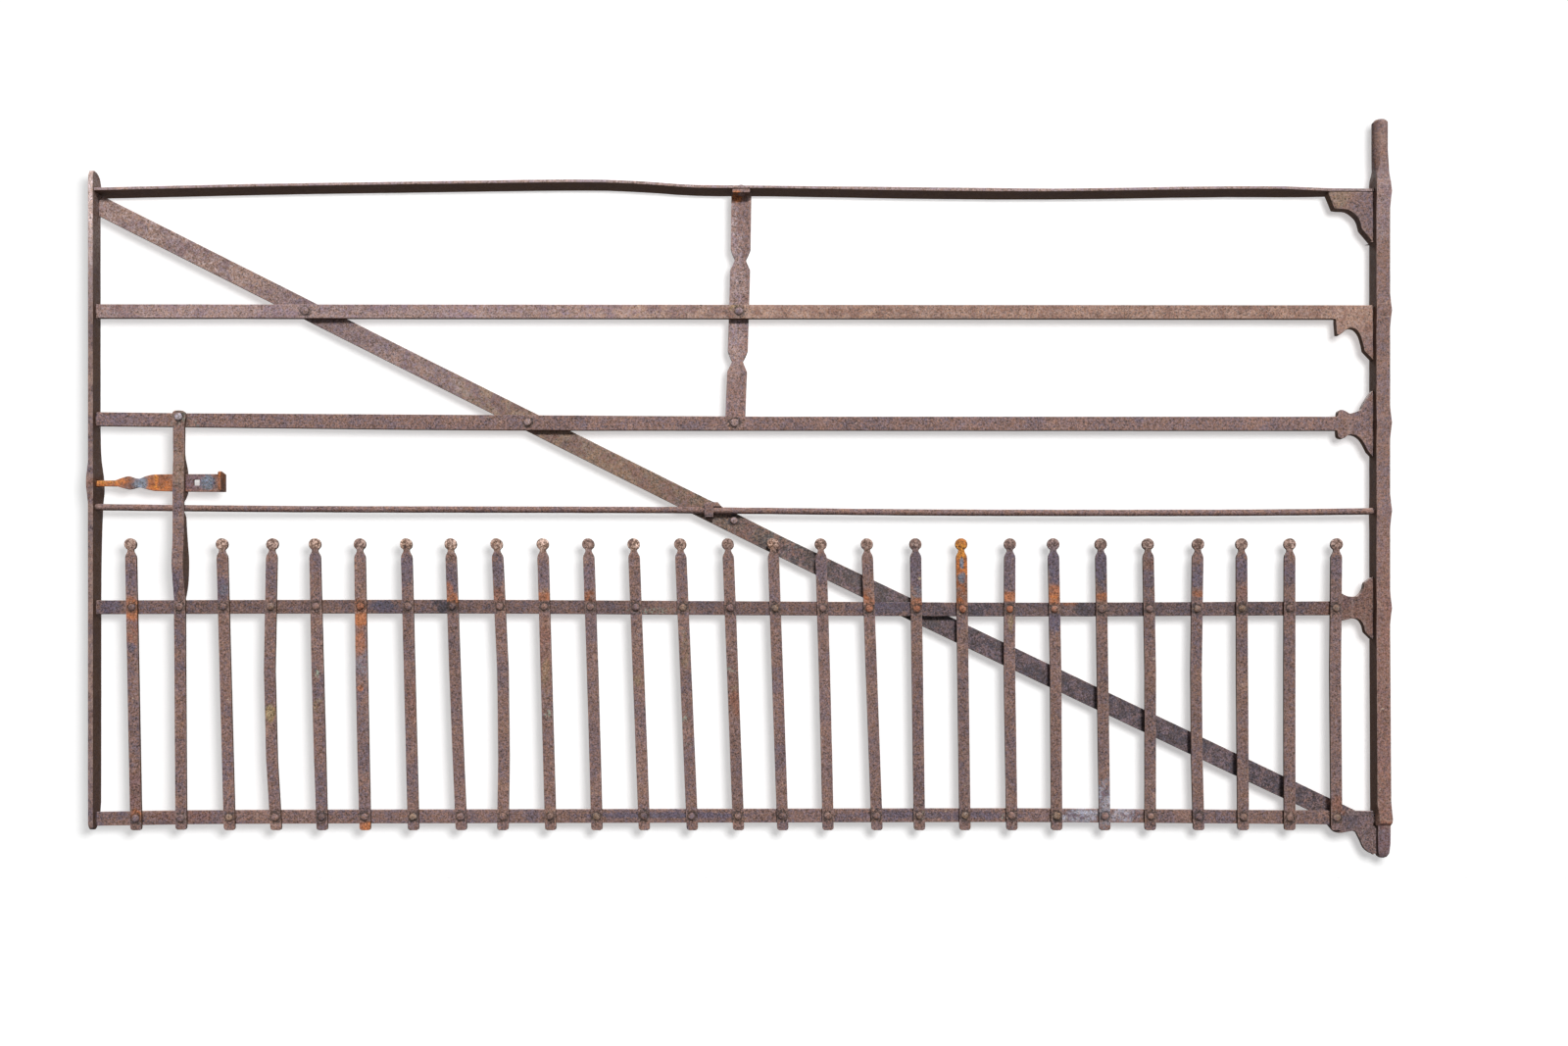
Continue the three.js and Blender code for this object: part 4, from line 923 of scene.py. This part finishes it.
def stage_material(name, colour, glow, far_glow=None, one_sided=False):
    """A pale surface with a glow of its own, which may fade from the head's end to far_glow at the
    heel's. A one-sided one is clear from behind."""
    material = bpy.data.materials.new(name)
    material.use_nodes = True
    tree = material.node_tree
    shader = tree.nodes["Principled BSDF"]
    shader.inputs["Base Color"].default_value = (*colour, 1)
    shader.inputs["Roughness"].default_value = 0.9
    shader.inputs["Specular IOR Level"].default_value = 0.1
    shader.inputs["Emission Color"].default_value = (1, 1, 1, 1)
    shader.inputs["Emission Strength"].default_value = glow
    if far_glow is not None:
        where = tree.nodes.new("ShaderNodeSeparateXYZ")
        link(tree, tree.nodes.new("ShaderNodeTexCoord").outputs["Object"], where.inputs[0])
        fade = ramp(tree, where.outputs[0], cad_low[0], cad_high[0])
        fade = math_node(tree, "MULTIPLY_ADD", fade, far_glow - glow, glow)
        link(tree, fade, shader.inputs["Emission Strength"])
    if one_sided:
        clear = tree.nodes.new("ShaderNodeBsdfTransparent")
        choose = tree.nodes.new("ShaderNodeMixShader")
        side = tree.nodes.new("ShaderNodeNewGeometry").outputs["Backfacing"]
        link(tree, side, choose.inputs[0])
        link(tree, shader.outputs[0], choose.inputs[1])
        link(tree, clear.outputs[0], choose.inputs[2])
        link(tree, choose.outputs[0], tree.nodes["Material Output"].inputs[0])
    return material


def sheet(name, corners, material):
    """One flat face of the stage."""
    mesh = bpy.data.meshes.new(name)
    mesh.from_pydata(corners, [], [tuple(range(len(corners)))])
    obj = bpy.data.objects.new(name, mesh)
    bpy.context.scene.collection.objects.link(obj)
    mesh.materials.append(material)
    return obj


# the stage, in metres: a wall close behind the gate, and a floor just under it
FLOOR = -0.05
WALL = 0.052
LEFT, RIGHT = -9, 6
TOP = 6
NEAR, FAR = -7, 7
PAPER = (0.8, 0.8, 0.8)
wall = sheet(
    "backdrop", [(LEFT, WALL, FLOOR), (RIGHT, WALL, FLOOR), (RIGHT, WALL, TOP), (LEFT, WALL, TOP)],
    stage_material("backdrop_white", PAPER, glow=0.45, far_glow=0.37, one_sided=True),
)
floor = sheet(
    "floor", [(LEFT, NEAR, FLOOR), (RIGHT, NEAR, FLOOR), (RIGHT, FAR, FLOOR), (LEFT, FAR, FLOOR)],
    stage_material("floor_white", PAPER, glow=0.7),
)
for obj in (wall, floor):
    obj.visible_diffuse = False
    obj.visible_glossy = False
    obj.visible_shadow = False

AMBIENT = 0.24  # the studio's light from all round; to the camera it is plain white
world = bpy.data.worlds.new("studio")
bpy.context.scene.world = world
world.use_nodes = True
tree = world.node_tree
background = tree.nodes["Background"]
background.inputs[0].default_value = (1, 1, 1, 1)
seen = tree.nodes.new("ShaderNodeLightPath").outputs["Is Camera Ray"]
link(tree, math_node(tree, "MULTIPLY_ADD", seen, 1 - AMBIENT, AMBIENT), background.inputs[1])


def collection(name, objects):
    """A collection that a lamp can be told to light."""
    group = bpy.data.collections.new(name)
    bpy.context.scene.collection.children.link(group)
    for obj in objects:
        group.objects.link(obj)
    return group


IRONWORK = collection("ironwork", pieces.values())
STAGE = collection("stage", (wall, floor))


def lamp(name, kind, place, aim, power, size, lights, even=False):
    """A lamp that lights one collection. size is a sun's angle in degrees, or a point's radius in
    metres. An even lamp doesn't weaken with distance."""
    data = bpy.data.lights.new(name, kind)
    data.energy = power
    if kind == "SUN":
        data.angle = math.radians(size)
    else:
        data.shadow_soft_size = size
    if even:
        data.use_nodes = True
        drop = data.node_tree.nodes.new("ShaderNodeLightFalloff")
        drop.inputs["Strength"].default_value = 1
        glow = data.node_tree.nodes["Emission"]
        data.node_tree.links.new(drop.outputs["Constant"], glow.inputs["Strength"])
    obj = bpy.data.objects.new(name, data)
    bpy.context.scene.collection.objects.link(obj)
    obj.location = place
    obj.rotation_euler = (Vector(aim) - Vector(place)).to_track_quat("-Z", "Y").to_euler()
    obj.light_linking.receiver_collection = lights


lamp("key", "SUN", place=(0.6, -3.0, 2.5), aim=(0, 0, 0), power=3.95, size=14, lights=IRONWORK)
lamp("rear", "SUN", place=(0, 3, 2.4), aim=(0, 0, 0), power=3.0, size=20, lights=IRONWORK)
lamp(
    "backdrop_light", "POINT", place=(-0.6, -2.6, 1.02), aim=(-1.3, 0, 0.7), power=27, size=0.42,
    lights=STAGE, even=True,
)

# the camera looks level and square at the gate, from low down, with the lens raised a little
EYE = (-1.2153, -2.6, 0.401)
camera = bpy.data.cameras.new("camera")
camera.lens = 29.25
camera.sensor_width = 36
camera.shift_y = 0.088
view = bpy.data.objects.new("camera", camera)
bpy.context.scene.collection.objects.link(view)
view.location = EYE
view.rotation_euler = (math.radians(90), 0, 0)
bpy.context.scene.camera = view
bpy.context.scene.view_settings.view_transform = "Standard"
